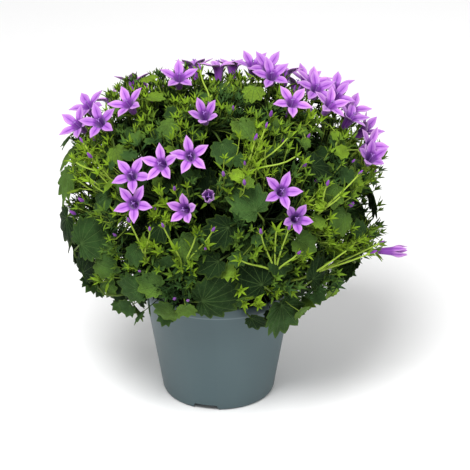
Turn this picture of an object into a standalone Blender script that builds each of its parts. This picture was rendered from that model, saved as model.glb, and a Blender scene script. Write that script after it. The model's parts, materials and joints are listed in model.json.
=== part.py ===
"""Potted bellflower: a grower's pot, its compost, leafy shoots and violet blooms.

Every shoot is one solid of stem, stalks, toothed leaves, bracts, buds and green
calyxes. It stands in a plain hole in the compost. Each bloom is a solid of its
own, seated on its calyx. X runs across the front, Y away from the viewer and
Z up, with the origin at the centre of the pot's foot. Sizes are in metres.
"""

import math
import random

import bmesh
import bpy
from mathutils import Matrix, Vector
from mathutils.bvhtree import BVHTree
from mathutils.geometry import interpolate_bezier

MM = 0.001
GAP = 0.3 * MM
CLEARANCE = 0.45 * MM
MERGE = 0.01 * MM
SHARP_ANGLE = math.radians(35)
SEED = 23

POT_COLOUR = (0.11, 0.17, 0.18)
SOIL_COLOUR = (0.035, 0.024, 0.017)
LEAF_COLOUR = (0.075, 0.14, 0.03)
PETAL_COLOUR = (0.45, 0.22, 0.72)

# Pot, a 12 cm grower's pot
RIM_RADIUS = 60 * MM
POT_HEIGHT = 92 * MM
COLLAR_HEIGHT = 8 * MM
NECK_RADIUS = 54.5 * MM
BASE_RADIUS = 40.5 * MM
WALL = 1.4 * MM
LIP_ROUND = 0.8 * MM
CORNER_ROUND = 2.6 * MM
FLOOR_RISE = 5 * MM
CENTRE_FOOT_RADIUS = 8 * MM
COLLAR_INNER_RADIUS = 57.8 * MM
POT_STEPS = 40
NOTCH_COUNT = 3
NOTCH_FIRST_ANGLE = math.radians(-103.2)
NOTCH_WIDTH = 21 * MM
NOTCH_HEIGHT = 4.4 * MM
NOTCH_SLOPE = 2.5 * MM
NOTCH_DEPTH = 10 * MM

# Compost
SOIL_LEVEL = 82 * MM
SOIL_STEPS = 20
HOLE_DEPTH = 16 * MM
HOLE_RADIUS = 2.35 * MM
HOLE_SIDES = 6

# Outline of the whole mound: a rounded form round a centre above the pot
MOUND_CENTRE = Vector((0, 0, 150 * MM))
MOUND_SIZE = Vector((118 * MM, 98 * MM, 96 * MM))
MOUND_FULLNESS = 2.4
LEAF_LEVEL = 0.9
RULE_LEVEL = 0.95
GOLDEN_ANGLE = math.radians(137.508)

# The viewer looks down on the plant from the front
VIEW_PITCH = math.radians(25.8)
VIEW_UP = Vector((0, math.sin(VIEW_PITCH), math.cos(VIEW_PITCH)))
TO_VIEWER = Vector((0, -math.cos(VIEW_PITCH), math.sin(VIEW_PITCH)))
VIEW_DEPTH = 130 * MM
VIEW_STEP = 0.5 * MM

# Stems
STEM_SIDES = 4
STALK_SIDES = 3
STEM_RADIUS = 1.5 * MM
STEM_TOP_RADIUS = 1.0 * MM
STALK_RADIUS = 0.85 * MM
STALK_TIP_RADIUS = 0.65 * MM
SPOT_SPACING = 3 * MM
SPOT_START = 7 * MM
ROOT_SHARE = 0.4
ROOT_SPACING = 11 * MM
ROOT_REACH = 40 * MM
HEAD_DROP = 20 * MM
STEM_TRIES = 40

# Blades
BLADE_THICKNESS = 0.75 * MM
LEAF_WIDTHS = [w * MM for w in (13, 16, 20, 24, 28, 33, 38)]
BRACT_LENGTHS = [l * MM for l in (10, 13, 16)]
LEAF_LOBE_ANGLE = math.radians(128)
LEAF_BASE_SHARE = 0.33
REACH_LIMIT = 95 * MM
SHORTEST_STALK = 6 * MM
INNER_WIDTH = 24 * MM
LOW_WIDTH = 32 * MM
TOP_WIDTH = 15 * MM
LEAF_BENDS = [(0.35, 0.1), (0.15, 0.25), (0.25, -0.05)]

# Blooms
BLOOM_SPACING = 20.5 * MM
TUBE_LENGTH = 9.5 * MM
TUBE_RADIUS = 4.4 * MM
SEAT_RADIUS = 2.1 * MM
CALYX_HEIGHT = 4 * MM
CALYX_RADIUS = 2.4 * MM
CALYX_SPREAD = 6.4 * MM
CALYX_REACH = 6.5 * MM
BUD_LENGTH = 10 * MM
BUD_RADIUS = 2.1 * MM
BUD_SPREAD = 4.2 * MM
MOUTH_DEPTH = 13.5 * MM
TRAILING_MOUTH = Vector((128 * MM, -14 * MM, 116 * MM))
TRAILING_AIM = Vector((0.9, -0.1, 0.05)).normalized()
BLOOM_TRIES = 80
FRONT_TURN = 0.85
BACK_TURN = Vector((0, 0, 0.66))
AIM_LIFT = Vector((0, 0, 0.25))
AIM_JITTER = 0.25
BLOOM_FORMS = {
    # tip radius, tip height, shoulder radius, shoulder height, shoulder half width, rib sink
    "open": (14.3, 14.6, 8.8, 13.0, 3.3, 1.1),
    "wide": (14.8, 12.6, 9.0, 12.3, 3.4, 1.1),
    "half": (11.0, 18.5, 7.4, 14.5, 3.0, 0.9),
    "slim": (3.2, 21.0, 4.2, 15.0, 2.1, 0.4),
}

# Where the blooms and leaves of the front show, in mm: across from the pot's
# axis, and up the view from the pot's foot. The back has like clusters.
FLOWER_SHOOTS = {
    "left_low": ("front", [(-57, 152), (-39, 158), (-22, 162), (-56, 131), (-24, 127)]),
    "centre_low": ("front", [(44, 140), (54, 121), (-6, 136)]),
    "left_top": ("front", [(-27, 222), (-9, 193)]),
    "far_left": ("front", [(-101, 189), (-96, 206), (-82, 188), (-65, 200)]),
    "top": ("front", [(38, 224), (26, 250), (54, 240), (52, 203)]),
    "right_top": ("front", [(70, 217), (80, 203), (84, 240), (68, 236)]),
    "far_right": ("front", [(101, 220), (103, 200), (118, 226), (120, 208)]),
    "right_side": ("front", [(122, 180), (110, 165)]),
    "trailing": ("front", [(137, 98)]),
    "back_left": ("back", [(62, 172), (80, 160), (58, 148)]),
    "back_top": ("back", [(0, 205), (18, 192), (-16, 186)]),
    "back_right": ("back", [(-60, 165), (-78, 178), (-54, 190)]),
}
FORM_OF = {
    ("trailing", 0): "slim", ("centre_low", 2): "slim", ("left_low", 4): "half",
    ("left_top", 1): "half", ("far_right", 3): "half", ("back_left", 2): "half",
    ("centre_low", 1): "half", ("left_low", 0): "wide", ("top", 3): "wide",
    ("far_left", 1): "wide", ("right_top", 0): "wide", ("back_top", 0): "wide",
    ("right_side", 1): "half",
}

# Shoots with leaves only: azimuth in degrees, reach and height in mm
LEAFY_SHOOTS = {
    "skirt_left": (188, 66, 118),
    "skirt_front_left": (245, 58, 112),
    "skirt_front_right": (300, 60, 112),
    "skirt_right": (352, 66, 112),
    "skirt_back_right": (50, 62, 116),
    "skirt_back_left": (125, 62, 116),
}

# Leaves that show at the front: across, up the view, and width, in mm
FRONT_LEAVES = [
    (-1, 66, 38), (46, 54, 33), (27, 49, 16), (-36, 55, 20), (-4, 89, 20), (-90, 108, 33),
    (-101, 84, 24), (-80, 88, 20), (-93, 71, 13), (-77, 72, 13), (-60, 72, 24), (-46, 76, 20),
    (-58, 96, 16), (21, 132, 28), (60, 104, 20), (25, 80, 28), (94, 66, 16), (82, 67, 13),
    (87, 120, 20), (101, 113, 16), (5, 168, 20), (18, 183, 20), (70, 158, 24), (80, 139, 20),
    (-22, 102, 20), (2, 112, 24), (44, 90, 20), (70, 84, 24), (-34, 184, 16), (-80, 134, 20),
    (-70, 166, 16), (-44, 206, 13), (8, 215, 16), (95, 150, 16), (-40, 112, 16),
]
RULE_LEAVES = 320
INNER_LEAVES = 26
INNER_LOW = SOIL_LEVEL + 22 * MM
INNER_HIGH = SOIL_LEVEL + 112 * MM
INNER_NEAR = 12 * MM
INNER_FAR = 62 * MM
INNER_TURN = 1.7
SKIRT_HEIGHT = 92 * MM
SMALL_TRIES = 270

# How many of each small part are grown, to keep the model light
COUNTS = {"rule": 29, "inner": 5, "bract": 11, "bud": 8}


def clear_scene():
    """Remove whatever the scene holds."""
    for old in list(bpy.data.objects):
        bpy.data.objects.remove(old, do_unlink=True)


def new_collection(name):
    """Return a new collection of the scene."""
    collection = bpy.data.collections.new(name)
    bpy.context.scene.collection.children.link(collection)
    return collection


def new_material(name, colour, roughness):
    """Return a Principled material of one colour."""
    material = bpy.data.materials.new(name)
    material.use_nodes = True
    shader = material.node_tree.nodes["Principled BSDF"]
    shader.inputs["Base Color"].default_value = (*colour, 1.0)
    shader.inputs["Roughness"].default_value = roughness
    material.diffuse_color = (*colour, 1.0)
    return material


def new_object(name, mesh, collection, matrix=None):
    """Return an object of a mesh, placed by a matrix."""
    body = bpy.data.objects.new(name, mesh)
    collection.objects.link(body)
    if matrix is not None:
        body.matrix_world = matrix
    return body


def mesh_from(bm, name):
    """Return a mesh of a bmesh, which is freed."""
    mesh = bpy.data.meshes.new(name)
    bm.to_mesh(mesh)
    bm.free()
    mesh.update()
    return mesh


def add_boolean(body, operation, collection):
    """Give a body a Boolean modifier that takes a whole collection."""
    boolean = body.modifiers.new(operation.title(), "BOOLEAN")
    boolean.operation = operation
    boolean.operand_type = "COLLECTION"
    boolean.collection = collection
    boolean.solver = "EXACT"
    return boolean


def turned(name, profile, steps, collection):
    """Return a turned solid whose profile runs down its outer side and back up."""
    bm = bmesh.new()
    verts = [bm.verts.new((radius, 0, height)) for radius, height in profile]
    for before, after in zip(verts, verts[1:]):
        bm.edges.new((before, after))
    body = new_object(name, mesh_from(bm, name), collection)
    screw = body.modifiers.new("Turn", "SCREW")
    screw.steps = steps
    screw.render_steps = steps
    screw.use_merge_vertices = True
    screw.merge_threshold = MERGE
    screw.use_smooth_shade = True
    return body


def wall_radius(height):
    """Return the pot body's outer radius at a height."""
    taper = (NECK_RADIUS - BASE_RADIUS) / (POT_HEIGHT - COLLAR_HEIGHT)
    return BASE_RADIUS + taper * height


def corner_arc(radius, turns):
    """Return the points of the rounded corner between the wall and the foot."""
    centre = wall_radius(radius) - radius
    angles = [math.pi / 2 * step / turns for step in range(turns + 1)]
    return [(centre + radius * math.cos(a), radius - radius * math.sin(a)) for a in angles]


def pot_profile():
    """Return the pot's section, from the lip down the outside and back up inside."""
    collar_base = POT_HEIGHT - COLLAR_HEIGHT
    ring_inner = wall_radius(0) - CORNER_ROUND - WALL
    floor_top = FLOOR_RISE + WALL
    outside = [(RIM_RADIUS - LIP_ROUND, POT_HEIGHT), (RIM_RADIUS, POT_HEIGHT - LIP_ROUND),
               (RIM_RADIUS - LIP_ROUND / 2, collar_base), (NECK_RADIUS, collar_base)]
    foot = [(ring_inner, 0), (ring_inner, FLOOR_RISE), (CENTRE_FOOT_RADIUS, FLOOR_RISE),
            (CENTRE_FOOT_RADIUS, 0), (0, 0)]
    inside = [(0, floor_top), (wall_radius(floor_top) - WALL, floor_top),
              (NECK_RADIUS - WALL, collar_base), (NECK_RADIUS, collar_base + WALL),
              (COLLAR_INNER_RADIUS, collar_base + WALL),
              (RIM_RADIUS - WALL - LIP_ROUND / 2, POT_HEIGHT)]
    return outside + corner_arc(CORNER_ROUND, 2) + foot + inside + outside[:1]


def notch_cutter(angle, cutters):
    """Return a block with sloped ends that cuts one foot notch."""
    bm = bmesh.new()
    bmesh.ops.create_cube(bm, size=1.0)
    below = 2 * MM
    bmesh.ops.scale(bm, vec=(NOTCH_DEPTH, NOTCH_WIDTH, NOTCH_HEIGHT + below), verts=bm.verts)
    bmesh.ops.translate(bm, vec=(0, 0, (NOTCH_HEIGHT - below) / 2), verts=bm.verts)
    for vert in bm.verts:
        if vert.co.z > 0:
            vert.co.y -= math.copysign(NOTCH_SLOPE, vert.co.y)
    place = Matrix.Rotation(angle, 4, "Z") @ Matrix.Translation((BASE_RADIUS - 1 * MM, 0, 0))
    cutter = new_object("notch", mesh_from(bm, "notch"), cutters, place)
    cutter.hide_render = True
    cutter.display_type = "WIRE"
    return cutter


def build_pot(parts):
    """Build the tapered pot with its collar, raised floor and foot notches."""
    pot = turned("pot", pot_profile(), POT_STEPS, parts)
    cutters = new_collection("pot_cutters")
    for index in range(NOTCH_COUNT):
        notch_cutter(NOTCH_FIRST_ANGLE + math.tau * index / NOTCH_COUNT, cutters)
    add_boolean(pot, "DIFFERENCE", cutters)
    pot.data.materials.append(new_material("pot_plastic", POT_COLOUR, 0.5))
    return pot


def soil_profile():
    """Return the compost's section: a slightly uneven top and the pot's inside."""
    floor = FLOOR_RISE + WALL + GAP
    top = [(0, SOIL_LEVEL + 0.6 * MM), (14 * MM, SOIL_LEVEL - 0.4 * MM),
           (30 * MM, SOIL_LEVEL + 0.5 * MM), (44 * MM, SOIL_LEVEL - 0.2 * MM)]
    edge = [(wall_radius(SOIL_LEVEL) - WALL - GAP, SOIL_LEVEL - 0.8 * MM),
            (wall_radius(floor) - WALL - GAP, floor), (0, floor)]
    return top + edge


def hole_cutter(place, cutters):
    """Return the cylinder that makes one stem's hole in the compost."""
    bm = bmesh.new()
    bmesh.ops.create_cone(bm, cap_ends=True, segments=HOLE_SIDES, radius1=HOLE_RADIUS,
                          radius2=HOLE_RADIUS, depth=2 * HOLE_DEPTH)
    cutter = new_object("hole", mesh_from(bm, "hole"), cutters)
    cutter.matrix_world = Matrix.Translation((place.x, place.y, SOIL_LEVEL))
    cutter.hide_render = True
    cutter.display_type = "WIRE"
    return cutter


def build_soil(parts, roots):
    """Build the compost with a plain hole for each shoot."""
    soil = turned("soil", soil_profile(), SOIL_STEPS, parts)
    cutters = new_collection("soil_cutters")
    for root in roots:
        hole_cutter(root, cutters)
    add_boolean(soil, "DIFFERENCE", cutters)
    soil.data.materials.append(new_material("compost", SOIL_COLOUR, 0.95))
    return soil


def leaf_edge(step, teeth):
    """Return the angle from the leaf's axis and the radius of one outline point."""
    angle = LEAF_LOBE_ANGLE * (1 - step / teeth)
    round_edge = 0.33 * math.cos(angle) + math.sqrt(0.25 - (0.33 * math.sin(angle)) ** 2)
    if step in (0, 2 * teeth):
        return angle, 0.72 * round_edge
    if step % 2:
        apex = 0.1 * max(0.0, math.cos(angle)) ** 6
        return angle, round_edge * (1.04 + apex)
    return angle, round_edge * 0.87


def leaf_teeth(width):
    """Return how many teeth a leaf of a width has."""
    if width < 22 * MM:
        return 5
    return 7 if width < 30 * MM else 9


def make_leaf(width, cup, fold):
    """Return a toothed, heart-shaped blade whose base is at the origin and tip along Y."""
    teeth = leaf_teeth(width)
    bm = bmesh.new()
    made = bmesh.ops.create_circle(bm, cap_ends=True, cap_tris=True, segments=2 * teeth + 3, radius=1)
    centre = made["verts"][0]
    ring = made["verts"][1:]
    centre.co = (0, 0.12 * width, -0.01 * width)
    for step, vert in enumerate(ring[:-2]):
        angle, radius = leaf_edge(step, teeth)
        x = radius * math.sin(angle)
        y = radius * math.cos(angle)
        pleat = 0.03 if step % 2 else -0.02
        vert.co = Vector((x, y, pleat - cup * radius ** 2 + fold * abs(x))) * width
    ring[-2].co = (-STALK_TIP_RADIUS, 0, 0)
    ring[-1].co = (STALK_TIP_RADIUS, 0, 0)
    close_blade(bm, Vector((0, 0, 1)))
    return bm


def close_blade(bm, aim=None):
    """Give an open blade its thickness, down an aim or else into the bell that it forms."""
    bmesh.ops.recalc_face_normals(bm, faces=bm.faces)
    seat = min(bm.faces, key=lambda f: f.calc_center_median().z)
    if seat.normal.z < 0:
        bmesh.ops.reverse_faces(bm, faces=bm.faces)
    bm.normal_update()
    normals = {tuple(v.co): v.normal.copy() for v in bm.verts}
    grown = bmesh.ops.extrude_face_region(bm, geom=bm.faces[:], use_keep_orig=True)["geom"]
    for vert in grown:
        if isinstance(vert, bmesh.types.BMVert):
            inward = -aim if aim else normals[tuple(vert.co)]
            vert.co += inward * BLADE_THICKNESS
    bmesh.ops.recalc_face_normals(bm, faces=bm.faces)


def leaf_base(bm):
    """Return the small face at a leaf's base, where its stalk begins."""
    near = 2 * STALK_TIP_RADIUS
    return next(f for f in bm.faces if all(v.co.xy.length < near for v in f.verts))


def make_bract(length):
    """Return a narrow folded blade whose base is at the origin and tip along Y."""
    bm = bmesh.new()
    bmesh.ops.create_circle(bm, cap_ends=True, cap_tris=True, segments=4, radius=1)
    bm.verts.ensure_lookup_table()
    half = 0.14 * length
    sink = -0.06 * length
    places = [(0, 0.45 * length, sink), (0, 0, 0), (half, 0.45 * length, 0),
              (0, length, -0.12 * length), (-half, 0.45 * length, 0)]
    for vert, place in zip(bm.verts, places):
        vert.co = place
    close_blade(bm, Vector((0, 0, 1)))
    bmesh.ops.triangulate(bm, faces=bm.faces)
    return mesh_from(bm, "bract")


def polar(radius, angle, height):
    """Return a point from its radius and angle round Z and its height."""
    return Vector((radius * math.cos(angle), radius * math.sin(angle), height))


def make_bloom(form):
    """Return a five-lobed bell whose seat is at the origin and mouth along Z."""
    tip_r, tip_z, side_r, side_z, side_w, sink = (v * MM for v in BLOOM_FORMS[form])
    tube_r = TUBE_RADIUS if form != "slim" else 0.72 * TUBE_RADIUS
    turn = math.tau / 5
    bm = bmesh.new()
    bmesh.ops.create_circle(bm, cap_ends=True, segments=5, radius=SEAT_RADIUS)
    bmesh.ops.create_cone(bm, segments=5, radius1=SEAT_RADIUS, radius2=tube_r,
                          depth=TUBE_LENGTH, matrix=Matrix.Translation((0, 0, TUBE_LENGTH / 2)))
    first = bm.verts[:][0].co
    start = math.atan2(first.y, first.x)
    for lobe in range(5):
        angle = start + turn * (lobe + 0.5)
        made = bmesh.ops.create_circle(bm, cap_ends=True, cap_tris=True, segments=5, radius=1)
        side = Vector((-math.sin(angle), math.cos(angle), 0)) * side_w
        shoulder = polar(side_r, angle, side_z)
        places = [polar(side_r - 1.5 * sink, angle, side_z - sink),
                  polar(tube_r, angle - turn / 2, TUBE_LENGTH),
                  shoulder - side, polar(tip_r, angle, tip_z), shoulder + side,
                  polar(tube_r, angle + turn / 2, TUBE_LENGTH)]
        for vert, place in zip(made["verts"], places):
            vert.co = place
    bmesh.ops.remove_doubles(bm, verts=bm.verts, dist=MERGE)
    close_blade(bm)
    bmesh.ops.triangulate(bm, faces=bm.faces)
    low = min(v.co.z for v in bm.verts)
    bmesh.ops.translate(bm, vec=(0, 0, -low), verts=bm.verts)
    return mesh_from(bm, "bloom")


def add_sepals(bm, spread, reach):
    """Draw each side of a green cup out into a pointed sepal."""
    sides = [f for f in bm.faces if abs(f.normal.z) < 0.9]
    made = bmesh.ops.poke(bm, faces=sides)
    for vert in made["verts"]:
        flat = Vector((vert.co.x, vert.co.y, 0)).normalized()
        vert.co = flat * spread + Vector((0, 0, reach))


def make_calyx():
    """Return a cup with five pointed sepals, its foot at the origin and mouth along Z."""
    bm = bmesh.new()
    bmesh.ops.create_cone(bm, cap_ends=True, segments=5, radius1=STALK_RADIUS, radius2=CALYX_RADIUS,
                          depth=CALYX_HEIGHT, matrix=Matrix.Translation((0, 0, CALYX_HEIGHT / 2)))
    add_sepals(bm, CALYX_SPREAD, CALYX_REACH)
    return bm


def make_bud():
    """Return a closed bud with its sepals, its foot at the origin and tip along Z."""
    low = 0.4 * BUD_LENGTH
    bm = bmesh.new()
    bmesh.ops.create_cone(bm, cap_ends=True, segments=5, radius1=STALK_RADIUS, radius2=BUD_RADIUS,
                          depth=low, matrix=Matrix.Translation((0, 0, low / 2)))
    add_sepals(bm, BUD_SPREAD, 0.75 * BUD_LENGTH)
    top = [f for f in bm.faces if len(f.verts) == 5 and f.normal.z > 0.9]
    tip = bmesh.ops.poke(bm, faces=top)
    tip["verts"][0].co.z = BUD_LENGTH
    return bm


def foot_face(bm):
    """Return the foot of a calyx or a bud, where its stalk begins."""
    return next(f for f in bm.faces if len(f.verts) == 5 and f.normal.z < -0.9)


def path_aim(points, index):
    """Return the direction of a path at one of its points."""
    before = points[max(0, index - 1)]
    after = points[min(len(points) - 1, index + 1)]
    return (after - before).normalized()


def extrude_along(bm, cap, points, taper):
    """Extrude a face of a solid along points, turning and tapering it with the path."""
    last = len(points) - 1
    for step in range(last):
        grown = bmesh.ops.extrude_face_region(bm, geom=[cap])["geom"]
        bmesh.ops.delete(bm, geom=[cap], context="FACES_ONLY")
        ends = [g for g in grown if isinstance(g, bmesh.types.BMVert)]
        cap = next(g for g in grown if isinstance(g, bmesh.types.BMFace))
        turn = path_aim(points, step).rotation_difference(path_aim(points, step + 1))
        move = (Matrix.Translation(points[step + 1]) @ turn.to_matrix().to_4x4()
                @ Matrix.Scale(taper ** (1 / last), 4) @ Matrix.Translation(-points[step]))
        bmesh.ops.transform(bm, matrix=move, verts=ends)


def make_stalk(points, first_radius, last_radius, sides):
    """Return a closed tapered stalk that follows its points."""
    foot = 0.2 * MM
    aim = path_aim(points, 0)
    turn = Vector((0, 0, 1)).rotation_difference(aim).to_matrix().to_4x4()
    place = Matrix.Translation(points[0]) @ turn
    bm = bmesh.new()
    bmesh.ops.create_cone(bm, cap_ends=True, segments=sides, radius1=first_radius,
                          radius2=first_radius, depth=foot, matrix=place)
    cap = max(bm.faces, key=lambda f: f.normal.dot(aim))
    points = [points[0] + aim * foot / 2] + points[1:]
    extrude_along(bm, cap, points, last_radius / first_radius)
    bmesh.ops.dissolve_limit(bm, angle_limit=0.001, verts=bm.verts, edges=bm.edges)
    bmesh.ops.recalc_face_normals(bm, faces=bm.faces)
    return mesh_from(bm, "stalk")


def stalked(solid, base, place, points, taper):
    """Return a copy of a blade or cup, in its place, with a stalk that runs to the stem."""
    bm = solid.copy()
    cap = base(bm)
    bmesh.ops.transform(bm, matrix=place, verts=bm.verts)
    extrude_along(bm, cap, points, taper)
    bmesh.ops.triangulate(bm, faces=bm.faces)
    bmesh.ops.recalc_face_normals(bm, faces=bm.faces)
    return mesh_from(bm, "stalked")


def curve_points(start, start_aim, end, end_aim, count, slack=0.4):
    """Return points of a smooth curve that leaves and arrives along given aims."""
    reach = (end - start).length * slack
    return interpolate_bezier(start, start + start_aim * reach, end - end_aim * reach, end, count)


def stem_spots(path):
    """Return evenly spaced points of a stem, each with the stem's direction there."""
    spots = []
    left = SPOT_START
    for before, after in zip(path, path[1:]):
        along = after - before
        while left < along.length:
            spots.append((before + along.normalized() * left, along.normalized()))
            left += SPOT_SPACING
        left -= along.length
    return spots


def mound_measure(point, level):
    """Return a value under 1 inside the mound's outline at a level and over 1 outside."""
    away = point - MOUND_CENTRE
    return sum(abs(away[k] / (MOUND_SIZE[k] * level)) ** MOUND_FULLNESS for k in range(3))


def mound_normal(point):
    """Return the direction that points straight out of the mound."""
    away = point - MOUND_CENTRE
    return Vector([away[k] / MOUND_SIZE[k] ** 2 for k in range(3)]).normalized()


def place_seen(across, up, side, level):
    """Return the point of the mound that shows at a place in the view."""
    centre_up = MOUND_CENTRE.dot(VIEW_UP)
    across *= MM
    up = up * MM - centre_up
    steps = round(VIEW_DEPTH / VIEW_STEP)
    while True:
        for step in range(-steps, steps):
            depth = step * VIEW_STEP
            height = (up + centre_up - depth * VIEW_UP.y) / VIEW_UP.z
            point = Vector((across, depth, height))
            if mound_measure(point, level) < 1:
                if side == "back":
                    return Vector((-point.x, -point.y, point.z))
                return point
        across *= 0.98
        up *= 0.98


def spread_apart(points, spacing, rounds, keep):
    """Push points apart until neighbours keep a spacing, and settle each with keep."""
    for _ in range(rounds):
        for i, here in enumerate(points):
            for there in points[:i]:
                apart = here - there
                if 0 < apart.length < spacing:
                    shift = apart.normalized() * (spacing - apart.length) * 0.3
                    here += shift
                    there -= shift
        for i, here in enumerate(points):
            points[i] = keep(here)
    return points


def on_mound(point):
    """Return the point moved in or out to the mound's outline."""
    for _ in range(4):
        measure = mound_measure(point, 1.0) ** (1 / MOUND_FULLNESS)
        point = MOUND_CENTRE + (point - MOUND_CENTRE) / measure
    return point


def inside_pot(root):
    """Return a root's place, drawn in where it is too near the pot's wall."""
    return root if root.length < ROOT_REACH else root * (ROOT_REACH / root.length)


class Piece:
    """One small solid of a node: its mesh, its place and a tree for clearance tests."""

    def __init__(self, node, kind, mesh, matrix=None):
        self.node = node
        self.kind = kind
        self.mesh = mesh
        self.matrix = matrix if matrix is not None else Matrix()
        points = [self.matrix @ v.co for v in mesh.vertices]
        self.faces = [p.vertices[:] for p in mesh.polygons]
        self.centre = sum(points, Vector()) / len(points)
        self.reach = max((p - self.centre).length for p in points)
        self.tree = BVHTree.FromPolygons(points, self.faces)

    def crosses_itself(self):
        """Tell whether two faces of the solid that share no corner meet."""
        for one, other in self.tree.overlap(self.tree):
            if not set(self.faces[one]) & set(self.faces[other]):
                return True
        return False

    def grown_tree(self):
        """Return a tree of the solid grown by the clearance."""
        points = [self.matrix @ (v.co + v.normal * CLEARANCE) for v in self.mesh.vertices]
        return BVHTree.FromPolygons(points, self.faces)

    def crosses(self, other):
        """Tell whether two solids meet as they are, as a bloom and its calyx must not."""
        return bool(self.tree.overlap(other.tree))

    def meets(self, others):
        """Tell whether the grown solid meets one of the others."""
        grown = self.grown_tree()
        for other in others:
            if other is self:
                continue
            far = self.reach + other.reach + CLEARANCE
            if (self.centre - other.centre).length < far and grown.overlap(other.tree):
                return True
        return False


def place_matrix(origin, tip_aim, face_aim):
    """Return the place of a blade whose tip is along Y and whose face looks along Z."""
    y = tip_aim.normalized()
    z = (face_aim - y * face_aim.dot(y)).normalized()
    x = y.cross(z)
    turn = Matrix((x, y, z)).transposed().to_4x4()
    return Matrix.Translation(origin) @ turn


def aim_matrix(origin, aim, roll):
    """Return the place of a round piece whose mouth looks along the aim."""
    turn = Vector((0, 0, 1)).rotation_difference(aim).to_matrix().to_4x4()
    return Matrix.Translation(origin) @ turn @ Matrix.Rotation(roll, 4, "Z")


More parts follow.
